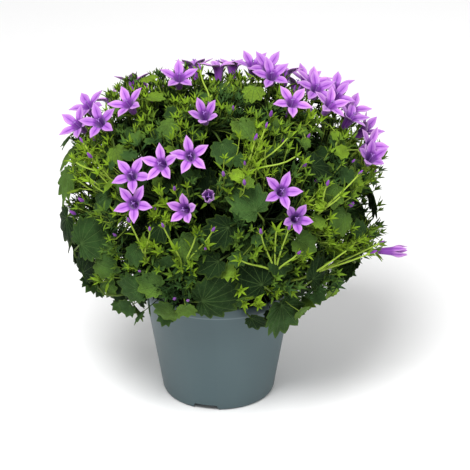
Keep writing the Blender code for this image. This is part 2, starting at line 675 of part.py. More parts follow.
class Plant:
    """The pieces of all shoots and blooms, grown one by one clear of each other."""

    def __init__(self, fixed):
        self.draw = random.Random(SEED)
        self.pieces = list(fixed)
        self.stems = {}
        self.spots = {}
        self.roots = {}
        self.bloom_names = []
        self.leaves = {}
        self.bracts = [make_bract(length) for length in BRACT_LENGTHS]
        self.blooms = {form: make_bloom(form) for form in BLOOM_FORMS}
        self.calyx = make_calyx()
        self.bud = make_bud()

    def leaf_blade(self, width, variant):
        """Return the blade of a width and a variant, made when first needed."""
        key = (width, variant)
        if key not in self.leaves:
            cup, fold = LEAF_BENDS[variant]
            self.leaves[key] = make_leaf(width, cup, fold)
        return self.leaves[key]

    def strangers(self, node):
        """Return the pieces that belong to other nodes."""
        return [p for p in self.pieces if p.node != node]

    def fellows(self, node):
        """Return the pieces of a node apart from its stem."""
        return [p for p in self.pieces if p.node == node and p.kind != "stem"]

    def bloom_places(self):
        """Return each bloom's shoot, form, mouth point and aim."""
        names = []
        mouths = []
        for shoot, (side, seen) in FLOWER_SHOOTS.items():
            for index, (across, up) in enumerate(seen):
                names.append((shoot, side, FORM_OF.get((shoot, index), "open")))
                mouths.append(place_seen(across, up, side, 1.0))
        loose = [m for (shoot, _, _), m in zip(names, mouths) if shoot != "trailing"]
        spread_apart(loose, BLOOM_SPACING, 40, on_mound)
        settled = iter(loose)
        places = []
        for (shoot, side, form), mouth in zip(names, mouths):
            if shoot == "trailing":
                mouth = TRAILING_MOUTH
                aim = TRAILING_AIM
            else:
                mouth = next(settled)
                turn = FRONT_TURN * TO_VIEWER if side == "front" else BACK_TURN
                jitter = Vector([self.draw.uniform(-AIM_JITTER, AIM_JITTER) for _ in range(3)])
                aim = mound_normal(mouth) + turn + AIM_LIFT + jitter
                aim.normalize()
            places.append((shoot, form, mouth, aim))
        return places

    def grow_stems(self, places):
        """Grow each shoot's main stem from its root to its head."""
        heads = {}
        for shoot in FLOWER_SHOOTS:
            mine = [(mouth, aim) for name, _, mouth, aim in places if name == shoot]
            mean = sum((m - a * HEAD_DROP for m, a in mine), Vector()) / len(mine)
            inward = (Vector((0, 0, SOIL_LEVEL)) - mean).normalized()
            heads[shoot] = mean + inward * HEAD_DROP
        for shoot, (azimuth, reach, height) in LEAFY_SHOOTS.items():
            heads[shoot] = polar(reach * MM, math.radians(azimuth), height * MM)
        roots = [Vector((h.x, h.y, 0)) * ROOT_SHARE for h in heads.values()]
        spread_apart(roots, ROOT_SPACING, 60, inside_pot)
        for (shoot, head), root in zip(heads.items(), roots):
            self.roots[shoot] = root
            self.grow_stem(shoot, root, head)

    def grow_stem(self, shoot, root, head):
        """Grow one main stem, bending it until it is clear of the others."""
        foot = Vector((root.x, root.y, SOIL_LEVEL - HOLE_DEPTH + GAP))
        surface = Vector((root.x, root.y, SOIL_LEVEL + 2 * MM))
        out = Vector((head.x - root.x, head.y - root.y, 0)).normalized()
        for attempt in range(STEM_TRIES):
            lean = Vector([self.draw.uniform(-0.35, 0.35) for _ in range(3)]) * (attempt > 0)
            aim = (Vector((0, 0, 1)) + 0.35 * out + lean).normalized()
            arrive = ((head - surface).normalized() + 0.3 * out + lean).normalized()
            path = curve_points(surface, aim, head, arrive, 5)
            solid = make_stalk([foot] + path, STEM_RADIUS, STEM_TOP_RADIUS, STEM_SIDES)
            stem = Piece(shoot, "stem", solid)
            if not stem.meets(self.strangers(shoot)):
                self.stems[shoot] = path
                self.spots[shoot] = stem_spots(path)
                self.pieces.append(stem)
                return
        raise RuntimeError("no clear stem for " + shoot)

    def grow_blooms(self, places):
        """Grow each bloom with its calyx and stalk."""
        for number, (shoot, form, mouth, aim) in enumerate(places, 1):
            node = "bloom_%02d" % number
            self.grow_bloom(node, shoot, form, mouth, aim)
            self.bloom_names.append(node)

    def grow_bloom(self, node, shoot, form, mouth, aim):
        """Grow one bloom, moving it until it is clear of everything else."""
        spots = self.spots[shoot]
        depth = MOUTH_DEPTH + CALYX_HEIGHT + GAP
        for attempt in range(BLOOM_TRIES):
            swing = 0.04 * attempt
            jitter = Vector([self.draw.uniform(-swing, swing) for _ in range(3)])
            shift = Vector([self.draw.uniform(-1, 1) for _ in range(3)]) * 0.25 * attempt * MM
            look = (aim + jitter * 0.6).normalized()
            base = mouth + shift - look * depth
            roll = self.draw.uniform(0, math.tau)
            spot = spots[-1 - (attempt // 4) % 5]
            start, along = spot
            leave = (along + (base - start).normalized()).normalized()
            path = curve_points(base, -look, start, -leave, 3)
            cup = stalked(self.calyx, foot_face, aim_matrix(base, look, roll), path, 1.0)
            head = Piece(shoot, "head", cup)
            seat = base + look * (CALYX_HEIGHT + GAP)
            bloom = Piece(node, "bloom", self.blooms[form], aim_matrix(seat, look, roll + math.pi / 5))
            if bloom.crosses(head) or bloom.meets(self.pieces):
                continue
            if head.meets(self.strangers(shoot)):
                continue
            if head.meets(self.fellows(shoot)) or head.crosses_itself():
                continue
            self.pieces += [head, bloom]
            spots.remove(spot)
            return
        raise RuntimeError("no clear place for " + node)

    def front_sites(self):
        """Return the places of the leaves that show at the front."""
        return [(place_seen(across, up, "front", LEAF_LEVEL), width * MM)
                for across, up, width in FRONT_LEAVES]

    def rule_sites(self):
        """Return places for leaves spread evenly all round the mound."""
        ruled = []
        for index in range(RULE_LEAVES):
            slope = 1 - 2 * (index + 0.5) / RULE_LEAVES
            angle = index * GOLDEN_ANGLE
            flat = math.sqrt(1 - slope * slope)
            away = Vector((flat * math.cos(angle), flat * math.sin(angle), slope))
            point = MOUND_CENTRE + Vector([away[k] * MOUND_SIZE[k] for k in range(3)])
            point = MOUND_CENTRE + (on_mound(point) - MOUND_CENTRE) * RULE_LEVEL
            if point.z < SKIRT_HEIGHT:
                continue
            high = (point.z - SKIRT_HEIGHT) / (MOUND_CENTRE.z + MOUND_SIZE.z - SKIRT_HEIGHT)
            wish = LOW_WIDTH + (TOP_WIDTH - LOW_WIDTH) * high + self.draw.uniform(-5, 5) * MM
            width = min(LEAF_WIDTHS, key=lambda w: abs(w - wish))
            ruled.append((point, width))
        return ruled

    def inner_sites(self):
        """Return places for the darker leaves inside the mound."""
        sites = []
        for index in range(INNER_LEAVES):
            angle = index * GOLDEN_ANGLE
            height = INNER_LOW + (INNER_HIGH - INNER_LOW) * (index + 0.5) / INNER_LEAVES
            sway = math.sin(index * INNER_TURN) ** 2
            reach = INNER_NEAR + (INNER_FAR - INNER_NEAR) * sway
            sites.append((polar(reach, angle, height), INNER_WIDTH))
        return sites

    def grow_leaves(self, sites):
        """Grow a leaf at each site where there is room, and return the places taken."""
        return [point for point, width in sites if self.grow_leaf(point, width)]

    def fill_evenly(self, sites, taken, limit):
        """Grow leaves, each at the site that is farthest from all that has grown."""
        grown = 0
        sites = list(sites)
        while sites and grown < limit:
            room = [min((point - other).length for other in taken) for point, _ in sites]
            point, width = sites.pop(room.index(max(room)))
            if self.grow_leaf(point, width):
                taken.append(point)
                grown += 1

    def carriers(self, point):
        """Return the free spots on the stems that a leaf at a point can hang on, best first."""
        ranked = []
        for shoot, spots in self.spots.items():
            mine = []
            for index, (start, _) in enumerate(spots):
                droop = max(0.0, start.z - point.z + 6 * MM)
                mine.append(((point - start).length + 1.5 * droop, shoot, index))
            mine.sort()
            ranked += mine[:9:3]
        ranked.sort()
        return [entry for entry in ranked if entry[0] < REACH_LIMIT][:12]

    def grow_leaf(self, point, width):
        """Grow one leaf with its stalk, and tell whether a clear place was found."""
        outward = mound_normal(point)
        for attempt, (_, shoot, index) in enumerate(self.carriers(point) * 2):
            start, along = self.spots[shoot][index]
            swing = 0.15 + 0.03 * attempt
            jitter = Vector([self.draw.uniform(-swing, swing) for _ in range(3)])
            face = (outward + Vector((0, 0, 0.35)) + jitter).normalized()
            tip = (point - start) - face * (point - start).dot(face)
            tip += Vector((0, 0, -0.35)) * tip.length
            tip -= face * tip.dot(face)
            tip.normalize()
            base = point - tip * LEAF_BASE_SHARE * width
            if (base - start).length < SHORTEST_STALK:
                continue
            solid = self.leaf_blade(width, attempt % len(LEAF_BENDS))
            place = place_matrix(base, tip, face)
            leave = ((base - start).normalized() + 0.5 * along).normalized()
            path = curve_points(base, -tip, start, -leave, 3)
            short = path[:-1] + [start.lerp(path[-2], 0.2)]
            stalk = make_stalk(short, STALK_RADIUS, STALK_RADIUS, STALK_SIDES)
            guide = Piece(shoot, "guide", stalk)
            if guide.meets(self.strangers(shoot)) or guide.meets(self.fellows(shoot)):
                continue
            blade = Piece(shoot, "guide", mesh_from(solid.copy(), "blade"), place)
            if blade.meets(self.pieces):
                continue
            leaf = Piece(shoot, "leaf", stalked(solid, leaf_base, place, path, 1.2))
            if leaf.crosses_itself() or leaf.meets(self.strangers(shoot)):
                continue
            self.pieces.append(leaf)
            self.spots[shoot].pop(index)
            return True
        return False

    def grow_small(self, kind, limit):
        """Grow bracts or buds along the stems."""
        grown = 0
        for attempt in range(SMALL_TRIES):
            if grown == limit:
                break
            shoot = list(self.stems)[attempt % len(self.stems)]
            spots = self.spots[shoot]
            index = self.draw.randrange(len(spots) // 3, len(spots))
            start, along = spots[index]
            angle = self.draw.uniform(0, math.tau)
            side = along.orthogonal().normalized()
            side.rotate(Matrix.Rotation(angle, 3, along))
            if kind == "bract":
                aim = (along * 0.7 + side).normalized()
                mesh = self.bracts[attempt % len(self.bracts)]
                small = Piece(shoot, kind, mesh, place_matrix(start, aim, along - 0.3 * side))
            else:
                aim = (along + 0.8 * side).normalized()
                end = start + aim * self.draw.uniform(14, 24) * MM
                look = (aim + mound_normal(end) + Vector((0, 0, 0.5))).normalized()
                path = curve_points(end, -look, start, -aim, 3)
                place = aim_matrix(end, look, angle)
                small = Piece(shoot, kind, stalked(self.bud, foot_face, place, path, 1.0))
            if small.meets(self.strangers(shoot)) or small.meets(self.fellows(shoot)):
                continue
            if small.crosses_itself():
                continue
            self.pieces.append(small)
            spots.pop(index)
            grown += 1

    def grow(self):
        """Grow the whole plant."""
        places = self.bloom_places()
        self.grow_stems(places)
        self.grow_blooms(places)
        taken = [mouth for _, _, mouth, _ in places]
        taken += self.grow_leaves(self.front_sites())
        self.fill_evenly(self.rule_sites(), taken, COUNTS["rule"])
        self.fill_evenly(self.inner_sites(), taken, COUNTS["inner"])
        self.grow_small("bud", COUNTS["bud"])
        self.grow_small("bract", COUNTS["bract"])


def pot_guide():
    """Return the pot's wall and collar as an open ring, for clearance tests."""
    collar_base = POT_HEIGHT - COLLAR_HEIGHT
    middle = POT_HEIGHT / 2
    section = [(wall_radius(middle), middle), (NECK_RADIUS, collar_base), (RIM_RADIUS, collar_base),
               (RIM_RADIUS, POT_HEIGHT), (RIM_RADIUS - 2 * WALL, POT_HEIGHT),
               (NECK_RADIUS - WALL, collar_base)]
    bm = bmesh.new()
    bmesh.ops.create_circle(bm, segments=POT_STEPS, radius=1)
    ring = bm.edges[:]
    bmesh.ops.transform(bm, matrix=ring_matrix(*section[0]), verts=bm.verts)
    for before, after in zip(section, section[1:]):
        grown = bmesh.ops.extrude_edge_only(bm, edges=ring)["geom"]
        ring = [g for g in grown if isinstance(g, bmesh.types.BMEdge)]
        verts = [g for g in grown if isinstance(g, bmesh.types.BMVert)]
        move = ring_matrix(*after) @ ring_matrix(*before).inverted()
        bmesh.ops.transform(bm, matrix=move, verts=verts)
    return Piece("pot", "pot", mesh_from(bm, "pot_guide"))


def ring_matrix(radius, height):
    """Return the matrix that makes a unit circle a ring of a radius at a height."""
    return Matrix.Translation((0, 0, height)) @ Matrix.Diagonal((radius, radius, 1, 1))


def fuse(name, pieces, parts, material):
    """Join a node's pieces into one solid with a single Boolean union."""
    work = new_collection("fusing")
    body = new_object(name, pieces[0].mesh.copy(), parts, pieces[0].matrix)
    for piece in pieces[1:]:
        new_object("piece", piece.mesh, work, piece.matrix)
    add_boolean(body, "UNION", work)
    bpy.context.view_layer.update()
    graph = bpy.context.evaluated_depsgraph_get()
    solid = bpy.data.meshes.new_from_object(body.evaluated_get(graph))
    body.modifiers.clear()
    for old in list(work.objects):
        bpy.data.objects.remove(old, do_unlink=True)
    bpy.data.collections.remove(work)
    body.data = solid
    solid.materials.clear()
    solid.materials.append(material)
    shade(solid)
    return body


def shade(mesh):
    """Shade a mesh smooth apart from its sharp edges."""
    mesh.shade_smooth()
    mesh.set_sharp_from_angle(angle=SHARP_ANGLE)


def main():
    """Build the potted bellflower."""
    clear_scene()
    parts = new_collection("potted_bellflower")
    plant = Plant([pot_guide()])
    plant.grow()
    build_pot(parts)
    build_soil(parts, plant.roots.values())
    for number, shoot in enumerate(plant.stems, 1):
        pieces = [p for p in plant.pieces if p.node == shoot]
        green = new_material("shoot_green_%02d" % number, LEAF_COLOUR, 0.6)
        fuse("shoot_%02d" % number, pieces, parts, green)
    for node in plant.bloom_names:
        bloom = next(p for p in plant.pieces if p.node == node)
        body = new_object(node, bloom.mesh.copy(), parts, bloom.matrix)
        body.data.materials.append(new_material(node + "_petal", PETAL_COLOUR, 0.55))
        shade(body.data)


main()
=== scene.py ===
"""Potted bellflower, dressed: a grower's pot, compost, leafy shoots and blooms.

The growth rule places every stem, leaf, bud and bloom as the plain solids have
them. Each is then modelled finely in its place, and smaller leaves, bracts and
twigs fill the plant. Lengths are in metres, +Z is up and -Y is the front.
"""

import json
import math
import random
from functools import cache

import bmesh
import bpy
from bmesh.types import BMEdge, BMFace, BMVert
from bpy.props import FloatProperty, FloatVectorProperty, IntProperty, PointerProperty
from mathutils import Matrix, Vector
from mathutils.bvhtree import BVHTree
from mathutils.geometry import interpolate_bezier
from mathutils.kdtree import KDTree

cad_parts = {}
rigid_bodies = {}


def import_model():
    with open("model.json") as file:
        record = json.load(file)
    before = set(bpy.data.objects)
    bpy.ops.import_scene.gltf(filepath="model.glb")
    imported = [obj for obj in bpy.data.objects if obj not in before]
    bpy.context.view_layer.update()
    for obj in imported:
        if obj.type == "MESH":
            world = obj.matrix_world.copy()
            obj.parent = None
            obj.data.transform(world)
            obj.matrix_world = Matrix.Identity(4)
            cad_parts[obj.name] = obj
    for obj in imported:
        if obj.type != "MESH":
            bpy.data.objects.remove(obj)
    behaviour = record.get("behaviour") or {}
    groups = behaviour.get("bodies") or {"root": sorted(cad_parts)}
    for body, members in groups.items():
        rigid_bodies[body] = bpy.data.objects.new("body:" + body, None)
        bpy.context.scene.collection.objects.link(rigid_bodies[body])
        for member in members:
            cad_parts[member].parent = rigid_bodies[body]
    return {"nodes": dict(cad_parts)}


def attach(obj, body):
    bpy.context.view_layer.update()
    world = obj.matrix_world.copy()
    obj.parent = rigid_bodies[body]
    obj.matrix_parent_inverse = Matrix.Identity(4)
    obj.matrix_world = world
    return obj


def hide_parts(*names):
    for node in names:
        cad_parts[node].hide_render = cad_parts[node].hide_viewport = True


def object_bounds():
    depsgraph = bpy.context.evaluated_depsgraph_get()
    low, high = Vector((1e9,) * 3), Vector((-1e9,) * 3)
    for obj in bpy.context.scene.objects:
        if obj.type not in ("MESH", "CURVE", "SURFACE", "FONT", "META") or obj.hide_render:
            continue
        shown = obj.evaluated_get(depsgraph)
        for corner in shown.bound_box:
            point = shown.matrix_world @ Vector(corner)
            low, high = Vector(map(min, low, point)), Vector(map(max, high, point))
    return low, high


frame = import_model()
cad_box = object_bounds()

bl_info = {
    "name": "Potted bellflower",
    "version": (1, 0, 0),
    "blender": (4, 5, 0),
    "location": "3D View > Sidebar > Bellflower",
    "description": "Models a potted bellflower with its pot, compost, shoots and blooms",
    "category": "Object",
}

MM = 0.001
GAP = 0.3 * MM
CLEARANCE = 0.45 * MM
MERGE = 0.01 * MM
SHARP_ANGLE = math.radians(35)
SEED = 23

# Pot, a 12 cm grower's pot
RIM_RADIUS = 60 * MM
POT_HEIGHT = 92 * MM
COLLAR_HEIGHT = 8 * MM
COLLAR_BASE = POT_HEIGHT - COLLAR_HEIGHT
NECK_RADIUS = 54.5 * MM
BASE_RADIUS = 40.5 * MM
WALL = 1.4 * MM
LIP_ROUND = 0.8 * MM
CORNER_ROUND = 2.6 * MM
FLOOR_RISE = 5 * MM
CENTRE_FOOT_RADIUS = 8 * MM
COLLAR_INNER_RADIUS = 57.8 * MM
POT_STEPS = 40
NOTCH_COUNT = 3
NOTCH_FIRST_ANGLE = math.radians(-103.2)
NOTCH_WIDTH = 21 * MM
NOTCH_HEIGHT = 4.4 * MM
NOTCH_SLOPE = 2.5 * MM
NOTCH_DEPTH = 10 * MM

# Compost
SOIL_LEVEL = 82 * MM
HOLE_DEPTH = 16 * MM

# Outline of the whole mound: a rounded form round a centre above the pot
MOUND_CENTRE = Vector((0, 0, 150 * MM))
MOUND_SIZE = Vector((118 * MM, 98 * MM, 96 * MM))
MOUND_FULLNESS = 2.4
LEAF_LEVEL = 0.9
RULE_LEVEL = 0.95
GOLDEN_ANGLE = math.radians(137.508)

# The viewer looks down on the plant from the front
VIEW_PITCH = math.radians(25.8)
VIEW_UP = Vector((0, math.sin(VIEW_PITCH), math.cos(VIEW_PITCH)))
TO_VIEWER = Vector((0, -math.cos(VIEW_PITCH), math.sin(VIEW_PITCH)))
VIEW_DEPTH = 130 * MM
VIEW_STEP = 0.5 * MM

# Stems
STEM_SIDES = 4
STALK_SIDES = 3
STEM_RADIUS = 1.5 * MM
STEM_TOP_RADIUS = 1.0 * MM
STALK_RADIUS = 0.85 * MM
STALK_TIP_RADIUS = 0.65 * MM
SPOT_SPACING = 3 * MM
SPOT_START = 7 * MM
ROOT_SHARE = 0.4
ROOT_SPACING = 11 * MM
ROOT_REACH = 40 * MM
HEAD_DROP = 20 * MM
STEM_TRIES = 40

# Blades
BLADE_THICKNESS = 0.75 * MM
LEAF_WIDTHS = [w * MM for w in (13, 16, 20, 24, 28, 33, 38)]
BRACT_LENGTHS = [l * MM for l in (10, 13, 16)]
LEAF_LOBE_ANGLE = math.radians(128)
LEAF_BASE_SHARE = 0.33
REACH_LIMIT = 95 * MM
SHORTEST_STALK = 6 * MM
INNER_WIDTH = 24 * MM
LOW_WIDTH = 32 * MM
TOP_WIDTH = 15 * MM
LEAF_BENDS = [(0.35, 0.1), (0.15, 0.25), (0.25, -0.05)]

# Blooms
BLOOM_SPACING = 20.5 * MM
TUBE_LENGTH = 9.5 * MM
TUBE_RADIUS = 4.4 * MM
SEAT_RADIUS = 2.1 * MM
CALYX_HEIGHT = 4 * MM
CALYX_RADIUS = 2.4 * MM
CALYX_SPREAD = 6.4 * MM
CALYX_REACH = 6.5 * MM
BUD_LENGTH = 10 * MM
BUD_RADIUS = 2.1 * MM
BUD_SPREAD = 4.2 * MM
MOUTH_DEPTH = 13.5 * MM
TRAILING_MOUTH = Vector((128 * MM, -14 * MM, 116 * MM))
TRAILING_AIM = Vector((0.9, -0.1, 0.05)).normalized()
BLOOM_TRIES = 80
FRONT_TURN = 0.85
BACK_TURN = Vector((0, 0, 0.66))
AIM_LIFT = Vector((0, 0, 0.25))
AIM_JITTER = 0.25
BLOOM_FORMS = {
    # tip radius, tip height, shoulder radius, shoulder height, shoulder half width, rib sink
    "open": (14.3, 14.6, 8.8, 13.0, 3.3, 1.1),
    "wide": (14.8, 12.6, 9.0, 12.3, 3.4, 1.1),
    "half": (11.0, 18.5, 7.4, 14.5, 3.0, 0.9),
    "slim": (3.2, 21.0, 4.2, 15.0, 2.1, 0.4),
}

# Where the blooms and leaves of the front show, in mm: across from the pot's
# axis, and up the view from the pot's foot. The back has like clusters.
FLOWER_SHOOTS = {
    "left_low": ("front", [(-57, 152), (-39, 158), (-22, 162), (-56, 131), (-24, 127)]),
    "centre_low": ("front", [(44, 140), (54, 121), (-6, 136)]),
    "left_top": ("front", [(-27, 222), (-9, 193)]),
    "far_left": ("front", [(-101, 189), (-96, 206), (-82, 188), (-65, 200)]),
    "top": ("front", [(38, 224), (26, 250), (54, 240), (52, 203)]),
    "right_top": ("front", [(70, 217), (80, 203), (84, 240), (68, 236)]),
    "far_right": ("front", [(101, 220), (103, 200), (118, 226), (120, 208)]),
    "right_side": ("front", [(122, 180), (110, 165)]),
    "trailing": ("front", [(137, 98)]),
    "back_left": ("back", [(62, 172), (80, 160), (58, 148)]),
    "back_top": ("back", [(0, 205), (18, 192), (-16, 186)]),
    "back_right": ("back", [(-60, 165), (-78, 178), (-54, 190)]),
}
FORM_OF = {
    ("trailing", 0): "slim", ("centre_low", 2): "slim", ("left_low", 4): "half",
    ("left_top", 1): "half", ("far_right", 3): "half", ("back_left", 2): "half",
    ("centre_low", 1): "half", ("left_low", 0): "wide", ("top", 3): "wide",
    ("far_left", 1): "wide", ("right_top", 0): "wide", ("back_top", 0): "wide",
    ("right_side", 1): "half",
}

# Shoots with leaves only: azimuth in degrees, reach and height in mm
LEAFY_SHOOTS = {
    "skirt_left": (188, 66, 118),
    "skirt_front_left": (245, 58, 112),
    "skirt_front_right": (300, 60, 112),
    "skirt_right": (352, 66, 112),
    "skirt_back_right": (50, 62, 116),
    "skirt_back_left": (125, 62, 116),
}

# Leaves that show at the front: across, up the view, and width, in mm
FRONT_LEAVES = [
    (-1, 66, 38), (46, 54, 33), (27, 49, 16), (-36, 55, 20), (-4, 89, 20), (-90, 108, 33),
    (-101, 84, 24), (-80, 88, 20), (-93, 71, 13), (-77, 72, 13), (-60, 72, 24), (-46, 76, 20),
    (-58, 96, 16), (21, 132, 28), (60, 104, 20), (25, 80, 28), (94, 66, 16), (82, 67, 13),
    (87, 120, 20), (101, 113, 16), (5, 168, 20), (18, 183, 20), (70, 158, 24), (80, 139, 20),
    (-22, 102, 20), (2, 112, 24), (44, 90, 20), (70, 84, 24), (-34, 184, 16), (-80, 134, 20),
    (-70, 166, 16), (-44, 206, 13), (8, 215, 16), (95, 150, 16), (-40, 112, 16),
]
RULE_LEAVES = 320
INNER_LEAVES = 26
INNER_LOW = SOIL_LEVEL + 22 * MM
INNER_HIGH = SOIL_LEVEL + 112 * MM
INNER_NEAR = 12 * MM
INNER_FAR = 62 * MM
INNER_TURN = 1.7
SKIRT_HEIGHT = 92 * MM
SMALL_TRIES = 270

# How many of each small part are grown, to keep the model light
COUNTS = {"rule": 29, "inner": 5, "bract": 11, "bud": 8}

# Stems and blooms are shaken until they are clear, and leaves hang on the nearest stems
BLOOM_ROUNDS = 40
ROOT_ROUNDS = 60
STEM_LEAN = 0.35
BLOOM_SWING = 0.04
BLOOM_SHIFT = 0.25
DROOP_ROOM = 6 * MM
CARRIER_TRIES = 12

# Fine pot, with a painted highlight along the lower edge of its collar
POT_FINE_STEPS = 144
POT_EDGE = 0.35 * MM
POT_RING_ANGLE = math.radians(28)
EDGE_HIGHLIGHT_HEIGHT = COLLAR_BASE + 0.4 * MM
EDGE_HIGHLIGHT_HALF = 1.1 * MM
CRUMB_RADII = (0.5 * MM, 1.6 * MM)

# Fine blades: their maps, and how finely each is divided
UV_NAME = "growth"
TONE_NAME = "tone"
FINE_TEETH = 4
FINE_GRAIN = 4
SMALL_GRAIN = 2
SMALL_BLADE = 0.025
FINE_TOOTH = (1.08, 0.97, 0.86, 0.985)
SMALL_TOOTH = (1.08, 0.84)
FINE_RINGS = (0.82, 0.6, 0.38, 0.16)
BETWEEN_VEINS = (0.25, 0.5)
STALK_STEPS = 7
STEM_STEPS = 14
EDGE_ANGLE = math.radians(48)
PETAL_STOPS = (0.0, 0.42, 0.76, 1.0)
PETAL_ACROSS = 6
PETAL_ALONG = 12
PETAL_START = math.pi / 2
STYLE_LENGTH = 14 * MM
SEPAL_LENGTH = 8.5 * MM

# Tones, from 0 for old and dark growth to 1 for young and light growth; on the shoots they are lowered
# further inwards as painted shade
STEM_TONE = 0.35
LEAF_STALK_TONE = 0.5
BRACT_TONE = 0.8
CALYX_TONE = 0.85
SPRAY_TONE = 0.85
BUD_TONE = 0.9
RAY_TONE = 0.95

# Thin parts: the radii of each tip and root, of the style from its foot, and their steps
TWIG_RADII = (0.4 * MM, 0.6 * MM)
RAY_RADII = (0.5 * MM, 0.8 * MM)
BUD_STALK_RADII = (0.6 * MM, 0.7 * MM)
SPRAY_RADII = (0.85 * MM, 1.0 * MM)
STYLE_RADII = (0.45 * MM, 0.35 * MM)
STIGMA_RADII = (0.35 * MM, 0.25 * MM)
THIN_SIDES = 4
TWIG_STEPS = 6
SMALL_STEPS = 5

# Least and greatest size of small leaves, in mm, and share of a bud's full size
INNER_WIDTHS = (14, 21)
TWIG_LEAF_LENGTHS = (5.5, 10)
SPRAY_LEAF_LENGTHS = (7, 11)
TWIG_BUD_SIZES = (0.55, 0.95)
SPRAY_BUD_SIZES = (0.6, 0.9)

# Which of its materials a face has: shoots have stem, upper, under and violet
UPPER_LOOK = 1
UNDER_LOOK = 2
VIOLET_LOOK = 3
STYLE_LOOK = 1

# Light sprays that show at the front: each foot, then its tips, in mm across and up the view
FRONT_SPRAYS = [
    ((40, 83), [(30, 109), (40, 112), (48, 112), (16, 91), (54, 96)]),
    ((-24, 86), [(-36, 114), (-15, 107), (-4, 110), (-28, 98)]),
    ((-50, 95), [(-59, 117), (-64, 124), (-46, 112)]),
    ((64, 82), [(112, 103), (89, 99), (104, 96)]),
    ((69, 124), [(96, 150), (84, 136), (74, 142)]),
    ((17, 151), [(32, 181), (53, 163), (25, 172), (48, 176)]),
    ((-6, 205), [(-1, 232), (8, 220), (-12, 226)]),
    ((-76, 150), [(-92, 172), (-98, 160), (-84, 178)]),
    ((84, 176), [(98, 196), (92, 204), (104, 186)]),
]
SPRAY_FOOT_LEVEL = 0.88
SPRAY_TIP_LEVEL = 1.0
TIP_ROOM = 10 * MM

# What small growth must leave in view: the blooms, the large leaves and the collar
BLOOM_GUARD = 12.5 * MM
GUARDED_WIDTH = 18 * MM
GUARD_TOP = 128 * MM
LOW_GUARD_SHARE = 0.36
HIGH_GUARD_SHARE = 0.15
GUARD_BACK = 25 * MM
COLLAR_SHOWS = (-22 * MM, -12 * MM, -2 * MM, 8 * MM)
COLLAR_ROOM = 7 * MM
LOOK_NEAREST = -2 * MM
LOOK_FARTHEST = 55 * MM
LOOK_ROOM = 11 * MM

# Where small leaves and twigs grow: levels of the mound, and the lowest height
GROWTH_TOP = 250 * MM
INNER_LEVELS = (0.3, 0.75)
INNER_FLOOR = 96 * MM
OUTER_LEVELS = (0.76, 0.97)
OUTER_FLOOR = 80 * MM
TWIG_LEVELS = (0.84, 1.0)
TWIG_FLOOR = 112 * MM
BARE_FOOT = 104 * MM
BARE_TOP = 190 * MM
BARE_FADE = 80 * MM
LUMP_SIZE = 17 * MM
LUMP_DEPTH = 0.09
PATCH_SIZE = 19 * MM
# Levels of the mound where the painted shade inside the plant is full, and where it ends
DARK_REACH = 0.62
LIGHT_REACH = 0.93

# How deep small growth starts, how far it reaches and how it keeps clear
LEAF_DROP = 14 * MM
TWIG_DROP = 24 * MM
LEAF_NEAREST = 5 * MM
TWIG_NEAREST = 14 * MM
FARTHEST = 60 * MM
LEAF_JITTER = 0.75
TWIG_REACH = 6 * MM
TIP_REACH = 8 * MM
BUD_ROOM = 9 * MM
TWIG_ROOM = 4.5 * MM
RAY_ROOM = 4 * MM
TUFT_LENGTH = 8 * MM
BUD_SHARE = 0.05

# Colours that tint others, and those of the style and the floor
LEAF_BLOTCH = (0.5, 0.45, 0.55)
STEM_BLUSH = (0.75, 0.7, 0.5)
PETAL_BLOTCH = (0.84, 0.72, 0.92)
PETAL_SHADE = (0.62, 0.5, 0.78)
STYLE_DEEP = (0.22, 0.08, 0.4)
STYLE_PALE = (0.4, 0.22, 0.55)
FIBRE_BROWN = (0.12, 0.075, 0.04)
FLOOR_SHADE = (0.93, 0.93, 0.93)
FLOOR_PALE = (0.96, 0.96, 0.96)

# Stage: where the camera and the lights look, and each light's place, size and power setting
FLOOR_HALF = 6
VIEW_TARGET = Vector((0.012, 0, 0.122))
LIGHT_AIM = (0, 0, 0.14)
LAMPS = {
    "key_light": ((-0.24, -0.7, 1.3), 0.65, "key"),
    "fill_light": ((0.9, -0.6, 0.55), 0.8, "fill"),
    "back_light": ((0.3, 0.95, 0.9), 0.6, "fill"),
}


def mesh_from(bm, name):
    """Return a mesh of a bmesh, which is freed."""
    mesh = bpy.data.meshes.new(name)
    bm.to_mesh(mesh)
    bm.free()
    mesh.update()
    return mesh


@cache
def shape(make, *sizes):
    """Return what a function makes of some sizes, made when it is first wanted."""
    return make(*sizes)


def lift(height):
    """Return a vector straight up."""
    return Vector((0, 0, height))


def shaken(draw, most):
    """Return a vector whose three parts are each drawn between -most and most."""
    return Vector([draw.uniform(-most, most) for _ in range(3)])


def only(parts, kind):
    """Return the parts of one kind: vertices, edges or faces."""
    return [part for part in parts if isinstance(part, kind)]


def extrude_ring(bm, ring):
    """Extrude a ring of edges, and return the new edges and the new vertices."""
    grown = bmesh.ops.extrude_edge_only(bm, edges=ring)["geom"]
    return only(grown, BMEdge), only(grown, BMVert)


def add_fan(bm, places):
    """Add a fan of triangles from its first place round the others."""
    made = bmesh.ops.create_circle(bm, cap_ends=True, cap_tris=True, segments=len(places) - 1, radius=1)
    for vert, place in zip(made["verts"], places):
        vert.co = place


def add_cup(bm, sides, foot_radius, top_radius, height, closed=True):
    """Add a tapered cup that stands on the origin."""
    bmesh.ops.create_cone(bm, cap_ends=closed, segments=sides, radius1=foot_radius, radius2=top_radius,
                          depth=height, matrix=Matrix.Translation((0, 0, height / 2)))


def wall_radius(height):
    """Return the pot body's outer radius at a height."""
    return BASE_RADIUS + (NECK_RADIUS - BASE_RADIUS) / COLLAR_BASE * height


def corner_arc(radius, turns):
    """Return the points of the rounded corner between the wall and the foot."""
    centre = wall_radius(radius) - radius
    angles = [math.pi / 2 * step / turns for step in range(turns + 1)]
    return [(centre + radius * math.cos(a), radius - radius * math.sin(a)) for a in angles]


